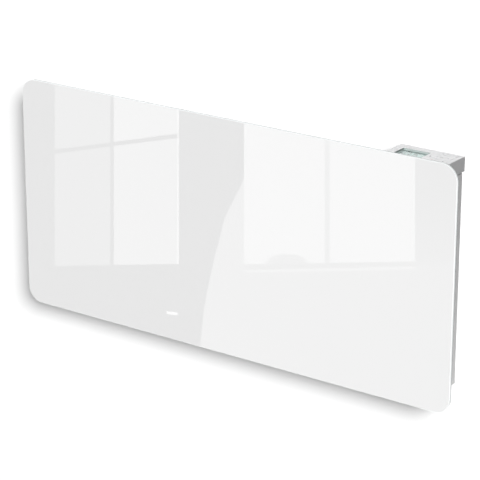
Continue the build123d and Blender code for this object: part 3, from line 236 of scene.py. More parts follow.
def rim_glow(tree, directions, rim, shaded_rear_strip):
    """Return the strength of the light that leaves at the clear part of the rim."""
    clear_rim = add_node(tree, "ShaderNodeMath", {0: rim, 1: shaded_rear_strip}, operation="SUBTRACT")
    by_height = add_node(
        tree,
        "ShaderNodeMapRange",
        {"Value": directions.outputs["Z"], "To Min": RIM_GLOW_SIDES, "To Max": RIM_GLOW_TOP},
    )
    glow = add_node(
        tree,
        "ShaderNodeMath",
        {0: clear_rim.outputs[0], 1: by_height.outputs[0]},
        operation="MULTIPLY",
    )
    return glow.outputs[0]


def enamelled_glass():
    """Tempered float glass, enamelled white on the back, with a polished rim."""
    material, tree, place = new_material("enamelled_float_glass")
    normal = add_node(tree, "ShaderNodeTexCoord").outputs["Normal"]
    directions = add_node(tree, "ShaderNodeSeparateXYZ", {0: normal})
    rim, shaded_rear_strip = rim_and_shade_strip(tree, place, directions)
    shader = add_node(
        tree,
        "ShaderNodeBsdfPrincipled",
        {
            "Base Color": glass_colour(tree, place, directions, rim, shaded_rear_strip),
            "Roughness": GLASS_ROUGHNESS,
            "IOR": GLASS_IOR,
            "Emission Color": linear(RIM_WHITE),
            "Emission Strength": rim_glow(tree, directions, rim, shaded_rear_strip),
        },
    )
    finish_surface(tree, shader)
    return material


print("the glass mirrors", round(((GLASS_IOR - 1) / (GLASS_IOR + 1)) ** 2, 3), "of the room in front")

# %% [markdown]
# ## Surfaces with a fine relief
#
# Powder coat, moulded plastic, rubber and ceramic all have a plain colour over a fine relief. They
# differ in colour, roughness and in how wide and deep the relief is. The relief could be modelled,
# but it is finer than a pixel from across a room, so a bump is enough. One function makes such a
# surface from the grain's width and height in millimetres. The colour drifts by a few percent over
# some centimetres, as it does on real parts. The grain of moulded plastic and of wire coats is nearer
# a tenth of a millimetre wide. It is drawn several times as wide here, so that it shows from near.

# %% Surfaces with a fine relief
DRIFT_WIDTH = 60 * MM
GRAIN_DETAIL = 3.0


def grained(name, colour, roughness, grain_mm, depth_mm, drift=0.03, ior=1.5, glow=0.0):
    """A dielectric surface with a grain of the given width and depth."""
    material, tree, place = new_material(name)
    patches = add_node(tree, "ShaderNodeTexNoise", {"Vector": place, "Scale": 1 / DRIFT_WIDTH})
    tint = add_node(
        tree,
        "ShaderNodeMix",
        {0: patches.outputs[0], 6: darker(colour, drift), 7: linear(colour)},
        data_type="RGBA",
    )
    grain = add_node(
        tree,
        "ShaderNodeTexNoise",
        {"Vector": place, "Scale": 1 / (grain_mm * MM), "Detail": GRAIN_DETAIL},
    )
    relief = add_node(tree, "ShaderNodeBump", {"Height": grain.outputs[0], "Distance": depth_mm * MM})
    shader = add_node(
        tree,
        "ShaderNodeBsdfPrincipled",
        {
            "Base Color": tint.outputs[2],
            "Roughness": roughness,
            "IOR": ior,
            "Normal": relief.outputs[0],
            "Emission Color": linear(colour),
            "Emission Strength": glow,
        },
    )
    finish_surface(tree, shader)
    return material


print("colours drift over", round(DRIFT_WIDTH / MM), "mm")

# %% [markdown]
# ## Bare metals
#
# Rolled, drawn and plated metals are smooth along the direction in which they were worked and
# rougher across it. A picture of scratches would do, but it repeats and needs a file. Stretching a
# noise along the direction of work gives the same fine lines at any size. Real ones are finer than
# a tenth of a millimetre. They are drawn several times as wide here, so that they show from near. The
# base colour of a metal is the colour of its reflection, and its IOR stays at the default.

# %% Bare metals
LINE_DETAIL = 4.0
LINE_DEPTH = 0.01 * MM
SMOOTH_SHARE = 0.8
ROUGH_SHARE = 1.25


def worked_metal(name, colour, roughness, line_mm, stretch=20.0):
    """A bare metal with fine lines of the given width along X."""
    material, tree, place = new_material(name)
    lines_place = add_node(
        tree,
        "ShaderNodeMapping",
        {"Vector": place, "Scale": (1 / stretch, 1.0, 1.0)},
    )
    lines = add_node(
        tree,
        "ShaderNodeTexNoise",
        {"Vector": lines_place.outputs[0], "Scale": 1 / (line_mm * MM), "Detail": LINE_DETAIL},
    )
    spread = add_node(
        tree,
        "ShaderNodeMapRange",
        {
            "Value": lines.outputs[0],
            "To Min": roughness * SMOOTH_SHARE,
            "To Max": roughness * ROUGH_SHARE,
        },
    )
    relief = add_node(tree, "ShaderNodeBump", {"Height": lines.outputs[0], "Distance": LINE_DEPTH})
    shader = add_node(
        tree,
        "ShaderNodeBsdfPrincipled",
        {
            "Base Color": linear(colour),
            "Metallic": 1.0,
            "Roughness": spread.outputs[0],
            "Normal": relief.outputs[0],
        },
    )
    finish_surface(tree, shader)
    return material


print("metal lines are", round(LINE_DEPTH / MM, 2), "mm deep")

# %% [markdown]
# ## Galvanised sheet
#
# Hot-dip galvanised steel cools into crystals some millimetres wide, each with its own shade. A
# noise would give soft clouds, but the crystals are flat and end at sharp borders. A cell pattern
# of their width gives both, and each cell's random colour sets its shade and roughness.

# %% Galvanised sheet
SPANGLE_MM = 7.0
SPANGLE_DARK = "#A9ACAF"
SPANGLE_PALE = "#C3C6C8"
SPANGLE_SMOOTH = 0.32
SPANGLE_ROUGH = 0.5


def galvanised_sheet():
    """Hot-dip galvanised steel with its spangle."""
    material, tree, place = new_material("galvanised_steel_sheet")
    cells = add_node(tree, "ShaderNodeTexVoronoi", {"Vector": place, "Scale": 1 / (SPANGLE_MM * MM)})
    shade = add_node(tree, "ShaderNodeSeparateColor", {0: cells.outputs["Color"]})
    colour = add_node(
        tree,
        "ShaderNodeMix",
        {0: shade.outputs[0], 6: linear(SPANGLE_DARK), 7: linear(SPANGLE_PALE)},
        data_type="RGBA",
    )
    spread = add_node(
        tree,
        "ShaderNodeMapRange",
        {"Value": shade.outputs[1], "To Min": SPANGLE_SMOOTH, "To Max": SPANGLE_ROUGH},
    )
    shader = add_node(
        tree,
        "ShaderNodeBsdfPrincipled",
        {"Base Color": colour.outputs[2], "Metallic": 1.0, "Roughness": spread.outputs[0]},
    )
    finish_surface(tree, shader)
    return material


print("spangle", SPANGLE_MM, "mm wide")

# %% [markdown]
# ## Clear acrylic
#
# The display window and the light guide are moulded from acrylic, which is clear and bends light
# as IOR 1.49 says. The flow in the mould leaves a trace of haze. A see-through shader would be
# quicker, but only transmission bends the view as a thick window does. Little light comes down
# through it into the recess, so the display below glows a little, as a lit one does.

# %% Clear acrylic
ACRYLIC_IOR = 1.49
ACRYLIC_TINT = "#F6FBFA"
FLOW_WIDTH = 8 * MM
FLOW_HAZE = 0.02


def clear_acrylic():
    """Moulded acrylic, clear but for a trace of haze."""
    material, tree, place = new_material("clear_moulded_acrylic")
    flow = add_node(tree, "ShaderNodeTexNoise", {"Vector": place, "Scale": 1 / FLOW_WIDTH})
    haze = add_node(tree, "ShaderNodeMapRange", {"Value": flow.outputs[0], "To Max": FLOW_HAZE})
    shader = add_node(
        tree,
        "ShaderNodeBsdfPrincipled",
        {
            "Base Color": linear(ACRYLIC_TINT),
            "Roughness": haze.outputs[0],
            "IOR": ACRYLIC_IOR,
            "Transmission Weight": 1.0,
        },
    )
    finish_surface(tree, shader)
    return material


print("acrylic flow marks are", round(FLOW_WIDTH / MM), "mm wide")

# %% [markdown]
# ## A finish for every slot
#
# The construction model names a slot for each piece. Here each slot gets the surface that the real
# piece has, and every node is painted through its slot. Painting node by node would work too, but
# then two pieces of one material could drift apart. The numbers of each finish are its roughness,
# the width of its grain and the grain's height, both in millimetres.

# %% A finish for every slot
finishes = {
    # A flat, hard mirror over plain white.
    "white_glass": enamelled_glass(),
    # Nearly black and dull, with a broad weak highlight.
    "silicone": grained("moulded_silicone", "#1E1F20", 0.6, 0.8, 0.01),
    # Satin white whose fine orange peel breaks up the highlights.
    "painted_steel": grained("powder_coated_steel", "#E3E3E3", 0.42, 1.2, 0.012),
    # Pale crystals that catch the light one by one.
    "galvanised_steel": galvanised_sheet(),
    # Amber and shiny, with the slow ripple of a film laid by hand.
    "film": grained("polyimide_heating_film", "#B0702A", 0.25, 3.0, 0.02),
    # Off-white and fluffy, with no highlight at all.
    "mineral_mat": grained("needled_mineral_mat", "#DDD7C8", 0.95, 1.5, 0.4, drift=0.12),
    # A rough red-brown brick, paler and darker where the kiln was cooler and hotter.
    "fired_ceramic": grained("fired_storage_ceramic", "#8C6A57", 0.85, 1.0, 0.08, drift=0.18),
    # Dense cream with a low sheen.
    "white_ceramic": grained("pressed_steatite", "#E9E4D8", 0.4, 0.6, 0.01),
    # Drawn, rolled, plated and stamped metals, with highlights that run along their lines.
    "stainless_sheath": worked_metal("drawn_stainless_tube", "#9C9A97", 0.3, 0.3),
    "bright_aluminium": worked_metal("rolled_aluminium", "#D2D4D6", 0.22, 0.4),
    "zinc_steel": worked_metal("zinc_plated_steel", "#BDC1C4", 0.3, 0.3, stretch=3.0),
    "brass": worked_metal("stamped_brass", "#C9A55C", 0.3, 0.3),
    # Moulded plastics, whose grain turns each highlight into a soft patch.
    "grey_nylon": grained("moulded_grey_polyamide", "#5C5E60", 0.5, 0.5, 0.01),
    "white_nylon": grained("moulded_white_polyamide", "#E2DFD4", 0.5, 0.5, 0.01),
    "white_abs": grained("moulded_white_abs", "#EBEBEC", 0.45, 0.35, 0.006, drift=0.015, ior=1.52),
    "black_plastic": grained("moulded_black_thermoset", "#17181A", 0.35, 0.6, 0.01),
    # Green lacquer that shines over the dark laminate.
    "board_laminate": grained("lacquered_board", "#1C5A34", 0.3, 0.8, 0.01),
    # The grey-green of a reflector behind liquid crystal, a little lit.
    "display_cell": grained("liquid_crystal_cell", "#A6C0BA", 0.3, 0.4, 0.002, glow=0.2),
    # Clear, with small sharp highlights at its edges.
    "clear_window": clear_acrylic(),
    # Extruded wire coats and sleeves, with a soft highlight along the wire.
    "brown_pvc": grained("brown_wire_pvc", "#5C3320", 0.45, 0.5, 0.01),
    "green_pvc": grained("green_wire_pvc", "#4F8C2C", 0.45, 0.5, 0.01),
    "white_sleeve": grained("white_silicone_sleeve", "#DCDACE", 0.6, 0.5, 0.02),
    "red_pvc": grained("red_wire_pvc", "#A3201A", 0.45, 0.5, 0.01),
    "black_pvc": grained("black_wire_pvc", "#161616", 0.45, 0.5, 0.01),
}
slot_of = {row["node"]: row["material_slot"] for row in frame["record"]["subparts"]}
for node_name, node in nodes.items():
    node.data.materials.clear()
    node.data.materials.append(finishes[slot_of[node_name]])
print("painted", len(nodes), "nodes in", len(finishes), "finishes")

# %% [markdown]
# ## Thin printed shapes
#
# Signs on keys are printed with ink a few hundredths of a millimetre thick, and the segments of a
# display lie as thin in their cell. Both could be painted in a material, but flat prisms from
# outlines in millimetres stay sharp however near the camera comes, and ride on their keys.

# %% Thin printed shapes
INK_THICKNESS = 0.04 * MM


def make_prints(name, outlines, centre, base_z, thickness=INK_THICKNESS):
    """Return a mesh of flat prisms: outlines in millimetres around centre, standing on base_z."""
    shape = bmesh.new()
    for outline in outlines:
        rings = []
        for z in (base_z, base_z + thickness):
            rings.append([shape.verts.new((centre[0] + x * MM, centre[1] + y * MM, z)) for x, y in outline])
        shape.faces.new(rings[1])
        shape.faces.new(list(reversed(rings[0])))
        for i in range(len(outline)):
            j = (i + 1) % len(outline)
            shape.faces.new((rings[0][i], rings[0][j], rings[1][j], rings[1][i]))
    bmesh.ops.recalc_face_normals(shape, faces=shape.faces)
    mesh = bpy.data.meshes.new(name)
    shape.to_mesh(mesh)
    shape.free()
    piece = bpy.data.objects.new(name, mesh)
    bpy.context.scene.collection.objects.link(piece)
    return piece


def bar(x, y, width, height):
    """Return the outline of an upright rectangle about (x, y)."""
    return [
        (x - width / 2, y - height / 2),
        (x + width / 2, y - height / 2),
        (x + width / 2, y + height / 2),
        (x - width / 2, y + height / 2),
    ]


def arc_band(radius, width, start, end, steps=20):
    """Return the outline of a band along an arc, from start to end in degrees."""
    turns = [radians(start + (end - start) * i / steps) for i in range(steps + 1)]
    outer = [((radius + width / 2) * cos(t), (radius + width / 2) * sin(t)) for t in turns]
    inner = [((radius - width / 2) * cos(t), (radius - width / 2) * sin(t)) for t in reversed(turns)]
    return outer + inner


def middle(low, high):
    """Return the middle of a box, seen from above."""
    return ((low.x + high.x) / 2, (low.y + high.y) / 2)


print("ink is", INK_THICKNESS / MM, "mm thick")

# %% [markdown]
# ## Signs on the keys
#
# The six keys carry small plain signs: a menu's three bars, the standby ring, an arrow back, and
# up, down and mode. The two front ones are printed darker, one of them in a dull red. A few strokes
# in millimetres draw each one about the key's middle, and each sign rides its key when it is pressed.

# %% Signs on the keys
SIGN_SIZE = 3.6
STROKE = 0.55
MENU_PITCH = 1.3
RING_START = 120
RING_END = 420
NECK = -0.2
HEAD_HALF = 1.4
SHAFT_LENGTH = 1.6
TRIANGLE_FOOT = 1.1
TRIANGLE_TIP = 1.5
FULL_TURN = 359
MODE_RADIUS = 1.2
RAY_REACH = 2.0
RAY_LENGTH = 0.88

half = SIGN_SIZE / 2
signs = {
    "key_menu": [bar(0, y, SIGN_SIZE, STROKE) for y in (-MENU_PITCH, 0, MENU_PITCH)],
    "key_standby": [arc_band(half, STROKE, RING_START, RING_END), bar(0, half, STROKE, half)],
    "key_back": [
        [(-half, 0), (NECK, -HEAD_HALF), (NECK, HEAD_HALF)],
        bar(SHAFT_LENGTH / 2, 0, SHAFT_LENGTH, STROKE),
    ],
    "key_up": [[(-half, -TRIANGLE_FOOT), (half, -TRIANGLE_FOOT), (0, TRIANGLE_TIP)]],
    "key_down": [[(-half, TRIANGLE_FOOT), (0, -TRIANGLE_TIP), (half, TRIANGLE_FOOT)]],
    "key_mode": [
        arc_band(MODE_RADIUS, STROKE, 0, FULL_TURN),
        bar(0, RAY_REACH, STROKE, RAY_LENGTH),
        bar(0, -RAY_REACH, STROKE, RAY_LENGTH),
        bar(RAY_REACH, 0, RAY_LENGTH, STROKE),
        bar(-RAY_REACH, 0, RAY_LENGTH, STROKE),
    ],
}
grey_ink = grained("pale_grey_print", "#B4B7B9", 0.5, 0.5, 0.001)
dark_ink = grained("dark_grey_print", "#74787A", 0.5, 0.5, 0.001)
red_ink = grained("dull_red_print", "#C79A9A", 0.5, 0.5, 0.001)
inks = {"key_down": dark_ink, "key_mode": red_ink}

for key_name, outlines in signs.items():
    low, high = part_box(key_name)
    sign = make_prints(key_name + "_sign", outlines, middle(low, high), high.z)
    sign.data.materials.append(inks.get(key_name, grey_ink))
    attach(sign, key_name)
print("signs on", len(signs), "keys")

# %% [markdown]
# ## Segments in the display
#
# A liquid crystal cell shows numbers with seven bars each. The bars are hexagons, so that they meet
# at a slant. The display shows a plain temperature at the back on the left, over a row of small
# hour marks, and stays bright on the right. A text object would need a font, and no font has these
# bars, so each digit is a choice of seven places.

# %% Segments in the display
DIGIT_WIDTH = 7.6
DIGIT_HEIGHT = 17.0
DIGIT_MIDDLE = 3.6
BAR_WIDTH = 2.3
BAR_INSET = 0.25
LIT_BARS = {"1": "bc", "2": "abged", "5": "afgcd"}


def segment(x0, y0, x1, y1):
    """Return a slim hexagon from one point to another, as wide as a bar."""
    along = Vector((x1 - x0, y1 - y0)).normalized() * BAR_WIDTH / 2
    across = Vector((-along.y, along.x))
    start = Vector((x0, y0)) + along * BAR_INSET
    end = Vector((x1, y1)) - along * BAR_INSET
    left_side = (start + along + across, end - along + across)
    right_side = (end - along - across, start + along - across)
    return [tuple(corner) for corner in (start, *left_side, end, *right_side)]


def digit(character, x):
    """Return the lit bars of one character whose left edge is at x."""
    right = x + DIGIT_WIDTH
    top = DIGIT_MIDDLE + DIGIT_HEIGHT / 2
    foot = DIGIT_MIDDLE - DIGIT_HEIGHT / 2
    places = {
        "a": (x, top, right, top),
        "b": (right, top, right, DIGIT_MIDDLE),
        "c": (right, DIGIT_MIDDLE, right, foot),
        "d": (x, foot, right, foot),
        "e": (x, DIGIT_MIDDLE, x, foot),
        "f": (x, top, x, DIGIT_MIDDLE),
        "g": (x, DIGIT_MIDDLE, right, DIGIT_MIDDLE),
    }
    return [segment(*places[name]) for name in LIT_BARS[character]]


READING_LEFT = -20.0
ONE_SHIFT = 5.5
POINT_SHIFT = 17.2
FIVE_SHIFT = 21.0
POINT_SIZE = 2.4
MARK_COUNT = 12
MARK_PITCH = 2.2
MARK_ROW = -9.0
MARK_WIDTH = 1.3
MARK_HEIGHT = 1.6

reading = digit("2", READING_LEFT)
reading += digit("1", READING_LEFT + ONE_SHIFT)
reading += digit("5", READING_LEFT + FIVE_SHIFT)
reading += [bar(READING_LEFT + POINT_SHIFT, DIGIT_MIDDLE - DIGIT_HEIGHT / 2, POINT_SIZE, POINT_SIZE)]
for i in range(MARK_COUNT):
    reading.append(bar(READING_LEFT + MARK_PITCH * i, MARK_ROW, MARK_WIDTH, MARK_HEIGHT))
cell_low, cell_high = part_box("display_module")
display_reading = make_prints("display_reading", reading, middle(cell_low, cell_high), cell_high.z)
display_reading.data.materials.append(grained("dark_liquid_crystal", "#33424A", 0.3, 0.5, 0.001))
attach(display_reading, "radiator")
print("display bars:", len(reading))

# %% [markdown]
# ## A liner and a border round the display
#
# A thin grey liner covers the recess's walls and the edge of the window. Its grey is painted shade,
# as the walls of the recess lie in shadow. Inside it the window has a printed grey border, which hides
# the ledge under the window and frames the display.
# Both are four strips that meet at mitred corners, so one function gives the outlines of both.

# %% A liner and a border round the display
LINER_WALL = 0.5
LINER_DROP = 0.25 * MM
BORDER_WIDTH = 3.3
BORDER_GAP = 0.05


def mitred_strips(half_x, half_y, width):
    """Return the outlines of four strips, as wide as width, inside a rectangle."""
    inner_x = half_x - width
    inner_y = half_y - width
    return [
        [(-half_x, -half_y), (half_x, -half_y), (inner_x, -inner_y), (-inner_x, -inner_y)],
        [(half_x, -half_y), (half_x, half_y), (inner_x, inner_y), (inner_x, -inner_y)],
        [(half_x, half_y), (-half_x, half_y), (-inner_x, inner_y), (inner_x, inner_y)],
        [(-half_x, half_y), (-half_x, -half_y), (-inner_x, -inner_y), (-inner_x, inner_y)],
    ]


window_low, window_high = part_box("display_window")
cover_top_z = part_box("control_cover")[1].z
half_x = (window_high.x - window_low.x) / 2 / MM
half_y = (window_high.y - window_low.y) / 2 / MM
strips = mitred_strips(half_x, half_y, LINER_WALL)
liner_height = cover_top_z - window_high.z - LINER_DROP
window_centre = middle(window_low, window_high)
# The liner's grey is painted shade for the walls of the recess.
recess_shade_liner = make_prints("recess_shade_liner", strips, window_centre, window_high.z, liner_height)
recess_shade_liner.data.materials.append(grained("grey_recess_painted_shade", "#B2BCBA", 0.55, 0.4, 0.008))
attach(recess_shade_liner, "radiator")

inset = LINER_WALL + BORDER_GAP
strips = mitred_strips(half_x - inset, half_y - inset, BORDER_WIDTH)
window_border = make_prints("window_border", strips, window_centre, window_high.z)
window_border.data.materials.append(grained("grey_screen_print", "#C0CBC8", 0.5, 0.4, 0.002))
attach(window_border, "radiator")
print("liner height", round(liner_height / MM, 2), "mm, border", BORDER_WIDTH, "mm")

# %% [markdown]
# ## The camera
#
# The view is from the right and a little above. The angles, the place and the long lens were worked
# out from the corners of the panel in the photograph, which is 480 pixels wide. A lens could be
# found by trying, but the corners give its length in pixels, and the sensor's width turns that into
# millimetres.

# %% The camera
IMAGE_SIZE = 480
AZIMUTH = 35.724
ELEVATION = 19.644
FOCAL_PIXELS = 2117.93
SENSOR_MM = 36.0
CAMERA_PLACE = Vector((2.12367, -2.99204, 1.28223))

camera_data = bpy.data.cameras.new("camera")
camera_data.sensor_width = SENSOR_MM
camera_data.lens = SENSOR_MM * FOCAL_PIXELS / IMAGE_SIZE
camera = bpy.data.objects.new("camera", camera_data)
camera.location = CAMERA_PLACE
camera.rotation_euler = Euler((radians(90 - ELEVATION), 0, radians(AZIMUTH)))
bpy.context.scene.collection.objects.link(camera)
bpy.context.scene.camera = camera
print("lens", round(camera_data.lens, 1), "mm")

# %% [markdown]
# ## The wall and the floor
#
# The radiator hangs on a white wall over a pale floor. Real ones would also throw light onto the
# casing's sides and hide its back, and then each lamp would change two things at once. So they are
# hidden from diffuse and shadow rays, and their own backs are see-through. A little light of their
# own keeps the shadow on them pale.

# %% The wall and the floor
WALL_SIZE = 8.0
FLOOR_DROP = 0.95
STAGE_WHITE = "#E3E3E3"
STAGE_LIFT = 0.02


def view_ray(tree):
    """Return a value that is 1 on camera, glossy and transmission rays."""
    path = add_node(tree, "ShaderNodeLightPath")
    seen = add_node(
        tree,
        "ShaderNodeMath",
        {0: path.outputs["Is Camera Ray"], 1: path.outputs["Is Glossy Ray"]},
        operation="MAXIMUM",
    )
    seen = add_node(
        tree,
        "ShaderNodeMath",
        {0: seen.outputs[0], 1: path.outputs["Is Transmission Ray"]},
        operation="MAXIMUM",
    )
    return seen.outputs[0]


def stage_surface(name):
    """A matt white paint that is a little brighter to view rays, and see-through from behind."""
    material, tree, _ = new_material(name)
    matt = add_node(tree, "ShaderNodeBsdfDiffuse", {"Color": linear(STAGE_WHITE)})
    strength = add_node(tree, "ShaderNodeMath", {0: view_ray(tree), 1: STAGE_LIFT}, operation="MULTIPLY")
    light = add_node(tree, "ShaderNodeEmission", {"Strength": strength.outputs[0]})
    lit = add_node(tree, "ShaderNodeAddShader", {0: matt.outputs[0], 1: light.outputs[0]})
    behind = add_node(tree, "ShaderNodeNewGeometry").outputs["Backfacing"]
    clear = add_node(tree, "ShaderNodeBsdfTransparent")
    finish_surface(
        tree,
        add_node(tree, "ShaderNodeMixShader", {0: behind, 1: lit.outputs[0], 2: clear.outputs[0]}),
    )
    return material


def stage_plane(name, centre, tilt, material):
    """A square stage plane."""
    bpy.ops.mesh.primitive_plane_add(size=WALL_SIZE, location=centre, rotation=tilt)
    plane = bpy.context.object
    plane.name = name
    plane.data.materials.append(material)
    return plane


wall_height = WALL_SIZE / 2 - FLOOR_DROP
wall = stage_plane("wall", (0, 0, wall_height), (pi / 2, 0, 0), stage_surface("wall_paint"))
floor = stage_plane("floor", (0, 0, -FLOOR_DROP), (0, 0, 0), stage_surface("floor_paint"))
for plane in (wall, floor):
    plane.visible_diffuse = False
    plane.visible_shadow = False
print("the wall is", WALL_SIZE, "m wide and the floor", FLOOR_DROP, "m below the radiator's middle")

# %% [markdown]
# ## Soft light
#
# A broad light in front and above lights the radiator, and a weaker one behind lights its back. A
# small lamp low on the right brightens the foot of the casing, as a pale floor does. The shadow on
# the wall comes from a light high on the right. One lamp could not give both the shadow and the
# shades of the casing, so light linking gives each lamp its own receivers: the wall and the floor,
# the casing, or all but the wall and floor.

# %% Soft light
FRONT_FROM = (0.0, -0.65, 0.38)
FRONT_LIGHT = 2.7
FRONT_SPREAD = 20
BACK_FROM = (-0.5, 0.7, 0.1)
BACK_LIGHT = 1.7
BACK_SPREAD = 40
WALL_FROM = (1.05, -1.0, 0.66)
WALL_LIGHT = 5.5
WALL_SPREAD = 20
FOOT_PLACE = (0.85, -0.06, -0.6)
FOOT_LAMP = 8.0
FOOT_LAMP_SIZE = 0.12


def add_sun(name, aim_from, strength, spread):
    """Add a distant light from a direction, as wide as spread in degrees."""
    data = bpy.data.lights.new(name, "SUN")
    data.energy = strength
    data.angle = radians(spread)
    lamp = bpy.data.objects.new(name, data)
    lamp.location = aim_from
    lamp.rotation_euler = Vector(aim_from).to_track_quat("Z", "Y").to_euler()
    bpy.context.scene.collection.objects.link(lamp)
    return lamp


def link_receivers(lamp, pieces, state):
    """Let a lamp light only these pieces (INCLUDE) or all but them (EXCLUDE)."""
    receivers = bpy.data.collections.new(lamp.name + "_receivers")
    for piece in pieces:
        receivers.objects.link(piece)
    for entry in receivers.collection_objects:
        entry.light_linking.link_state = state
    lamp.light_linking.receiver_collection = receivers


front_light = add_sun("front_light", FRONT_FROM, FRONT_LIGHT, FRONT_SPREAD)
back_light = add_sun("back_light", BACK_FROM, BACK_LIGHT, BACK_SPREAD)
wall_light = add_sun("wall_light", WALL_FROM, WALL_LIGHT, WALL_SPREAD)
foot_lamp_data = bpy.data.lights.new("foot_lamp", "POINT")
foot_lamp_data.energy = FOOT_LAMP
foot_lamp_data.shadow_soft_size = FOOT_LAMP_SIZE
foot_lamp = bpy.data.objects.new("foot_lamp", foot_lamp_data)
foot_lamp.location = FOOT_PLACE
bpy.context.scene.collection.objects.link(foot_lamp)
link_receivers(front_light, (wall, floor), "EXCLUDE")
link_receivers(back_light, (wall, floor), "EXCLUDE")
link_receivers(wall_light, (wall, floor), "INCLUDE")
link_receivers(foot_lamp, (nodes["rear_casing"],), "INCLUDE")
print("lamps:", [lamp.name for lamp in (front_light, back_light, wall_light, foot_lamp)])

# %% [markdown]
# ## The light of the world
#
# The world fills the shadows evenly, as the walls of a pale room do. Seen by the camera, in a mirror
# or through glass it is plain white, and for lighting it is weaker. The kind of ray tells the two
# apart, so the white background puts no more light on the radiator.

# %% The light of the world
WORLD_FILL = 0.33
WORLD_SEEN = 1.0

world = bpy.data.worlds.new("studio")
bpy.context.scene.world = world
world.use_nodes = True
world.node_tree.nodes.clear()
seen_share = view_ray(world.node_tree)
world_strength = add_node(
    world.node_tree,
    "ShaderNodeMix",
    {0: seen_share, 2: WORLD_FILL, 3: WORLD_SEEN},
    data_type="FLOAT",
)
background = add_node(world.node_tree, "ShaderNodeBackground", {"Strength": world_strength.outputs[0]})
add_node(world.node_tree, "ShaderNodeOutputWorld", {"Surface": background.outputs[0]})
print("the world lights with", WORLD_FILL, "and shows as", WORLD_SEEN)

# %% [markdown]
# ## Windows that the glass mirrors
#
# A glossy panel is only as good as what it mirrors. A whole room could be modelled, but bright cards
# in front of the glass, where its windows would be, are enough. Each corner is found by following
# the view ray to the glass, turning it back there as a mirror does, and going on to the card's
# distance. Only glossy rays see the cards. A card may fade from its foot to its head, as a wall
# beside a window does.

# %% Windows that the glass mirrors
CARD_DISTANCE = 1.2
CARD_LAYER = 0.05


def seen_in_glass(u, v, distance):
    """Return the point so far in front of the glass that the camera sees mirrored at a pixel."""
    ray = Vector(((u - IMAGE_SIZE / 2) / FOCAL_PIXELS, -(v - IMAGE_SIZE / 2) / FOCAL_PIXELS, -1.0))
    ray.rotate(camera.rotation_euler)
    hit = CAMERA_PLACE + ray * ((glass_front_y - CAMERA_PLACE.y) / ray.y)
    return hit + Vector((ray.x, -ray.y, ray.z)) * (distance / ray.y)


def add_card(name, pixels, brightness, distance=CARD_DISTANCE, head_brightness=None):
    """Add a card, given by the pixels where its corners show in the glass."""
    corners = [seen_in_glass(u, v, distance) for u, v in pixels]
    mesh = bpy.data.meshes.new(name)
    mesh.from_pydata([tuple(corner) for corner in corners], [], [list(range(len(corners)))])
    card = bpy.data.objects.new(name, mesh)
    bpy.context.scene.collection.objects.link(card)
    material, tree, place = new_material(name + "_light")
    if head_brightness is not None:
        heights = [corner.z for corner in corners]
        height = add_node(tree, "ShaderNodeSeparateXYZ", {0: place}).outputs["Z"]
        fade = {
            "Value": height,
            "From Min": min(heights),
            "From Max": max(heights),
            "To Min": brightness,
            "To Max": head_brightness,
        }
        brightness = add_node(tree, "ShaderNodeMapRange", fade).outputs[0]
    light = add_node(tree, "ShaderNodeEmission", {"Strength": brightness})
    finish_surface(tree, light)
    mesh.materials.append(material)
    card.visible_camera = False
    card.visible_diffuse = False
    card.visible_transmission = False
    card.visible_shadow = False


print("cards stand", CARD_DISTANCE, "m in front of the glass")

# %% [markdown]
# ## The left window
#
# Two panes wide and two high, with a brighter reveal on its right and a dark frame behind all four.
# The lists give the columns (u) and rows (v) of the photograph, in pixels, where the edges show: the
# columns from left to right, and for each column the rows of the slanting bar and of the foot.

# %% The left window
HEAD_V = 60
LEFT_WINDOW_U = (54.8, 110.2, 113.8, 177.4)
UPPER_FOOT_V = (149.4, 142.6, 141.9, 133.6)
LOWER_HEAD_V = (153.6, 146.6, 146.0, 138.0)
LOWER_FOOT_V = (266.0, 265.0, 265.0, 264.0)
UPPER_BRIGHTNESS = (2.05, 3.1)
LOWER_BRIGHTNESS = (1.9, 2.8)
for pane, side in enumerate(("left", "right")):
    edges = slice(2 * pane, 2 * pane + 2)
    left_u, right_u = LEFT_WINDOW_U[edges]
    left_v, right_v = UPPER_FOOT_V[edges]
    upper = [(left_u, HEAD_V), (right_u, HEAD_V), (right_u, right_v), (left_u, left_v)]
    add_card("left_window_upper_" + side, upper, UPPER_BRIGHTNESS[pane])
    left_head, right_head = LOWER_HEAD_V[edges]
    left_foot, right_foot = LOWER_FOOT_V[edges]
    lower = [(left_u, left_head), (right_u, right_head), (right_u, right_foot), (left_u, left_foot)]
    add_card("left_window_lower_" + side, lower, LOWER_BRIGHTNESS[pane])

REVEAL_U = 178.8
REVEAL_BRIGHTNESS = 4.2
FRAME_LEFT_V = 270
FRAME_RIGHT_V = 268
FRAME_BRIGHTNESS = 0.75
outer_u = LEFT_WINDOW_U[0]
inner_u = LEFT_WINDOW_U[-1]
reveal_foot = LOWER_FOOT_V[-1]
reveal = [(inner_u, HEAD_V), (REVEAL_U, HEAD_V), (REVEAL_U, reveal_foot), (inner_u, reveal_foot)]
add_card("left_window_right_edge", reveal, REVEAL_BRIGHTNESS)
left_frame = [(outer_u, HEAD_V), (inner_u, HEAD_V), (inner_u, FRAME_RIGHT_V), (outer_u, FRAME_LEFT_V)]
add_card("left_window_frame", left_frame, FRAME_BRIGHTNESS, CARD_DISTANCE + CARD_LAYER)
print("the left window shows from column", outer_u, "to", inner_u)

# %% [markdown]
# ## The right window and its sill
#
# Two tall panes with a low dip in the foot of the left one. Under them lie the sill's shadow and its
# pale front edge, both a little slanted, as the room is seen at an angle.

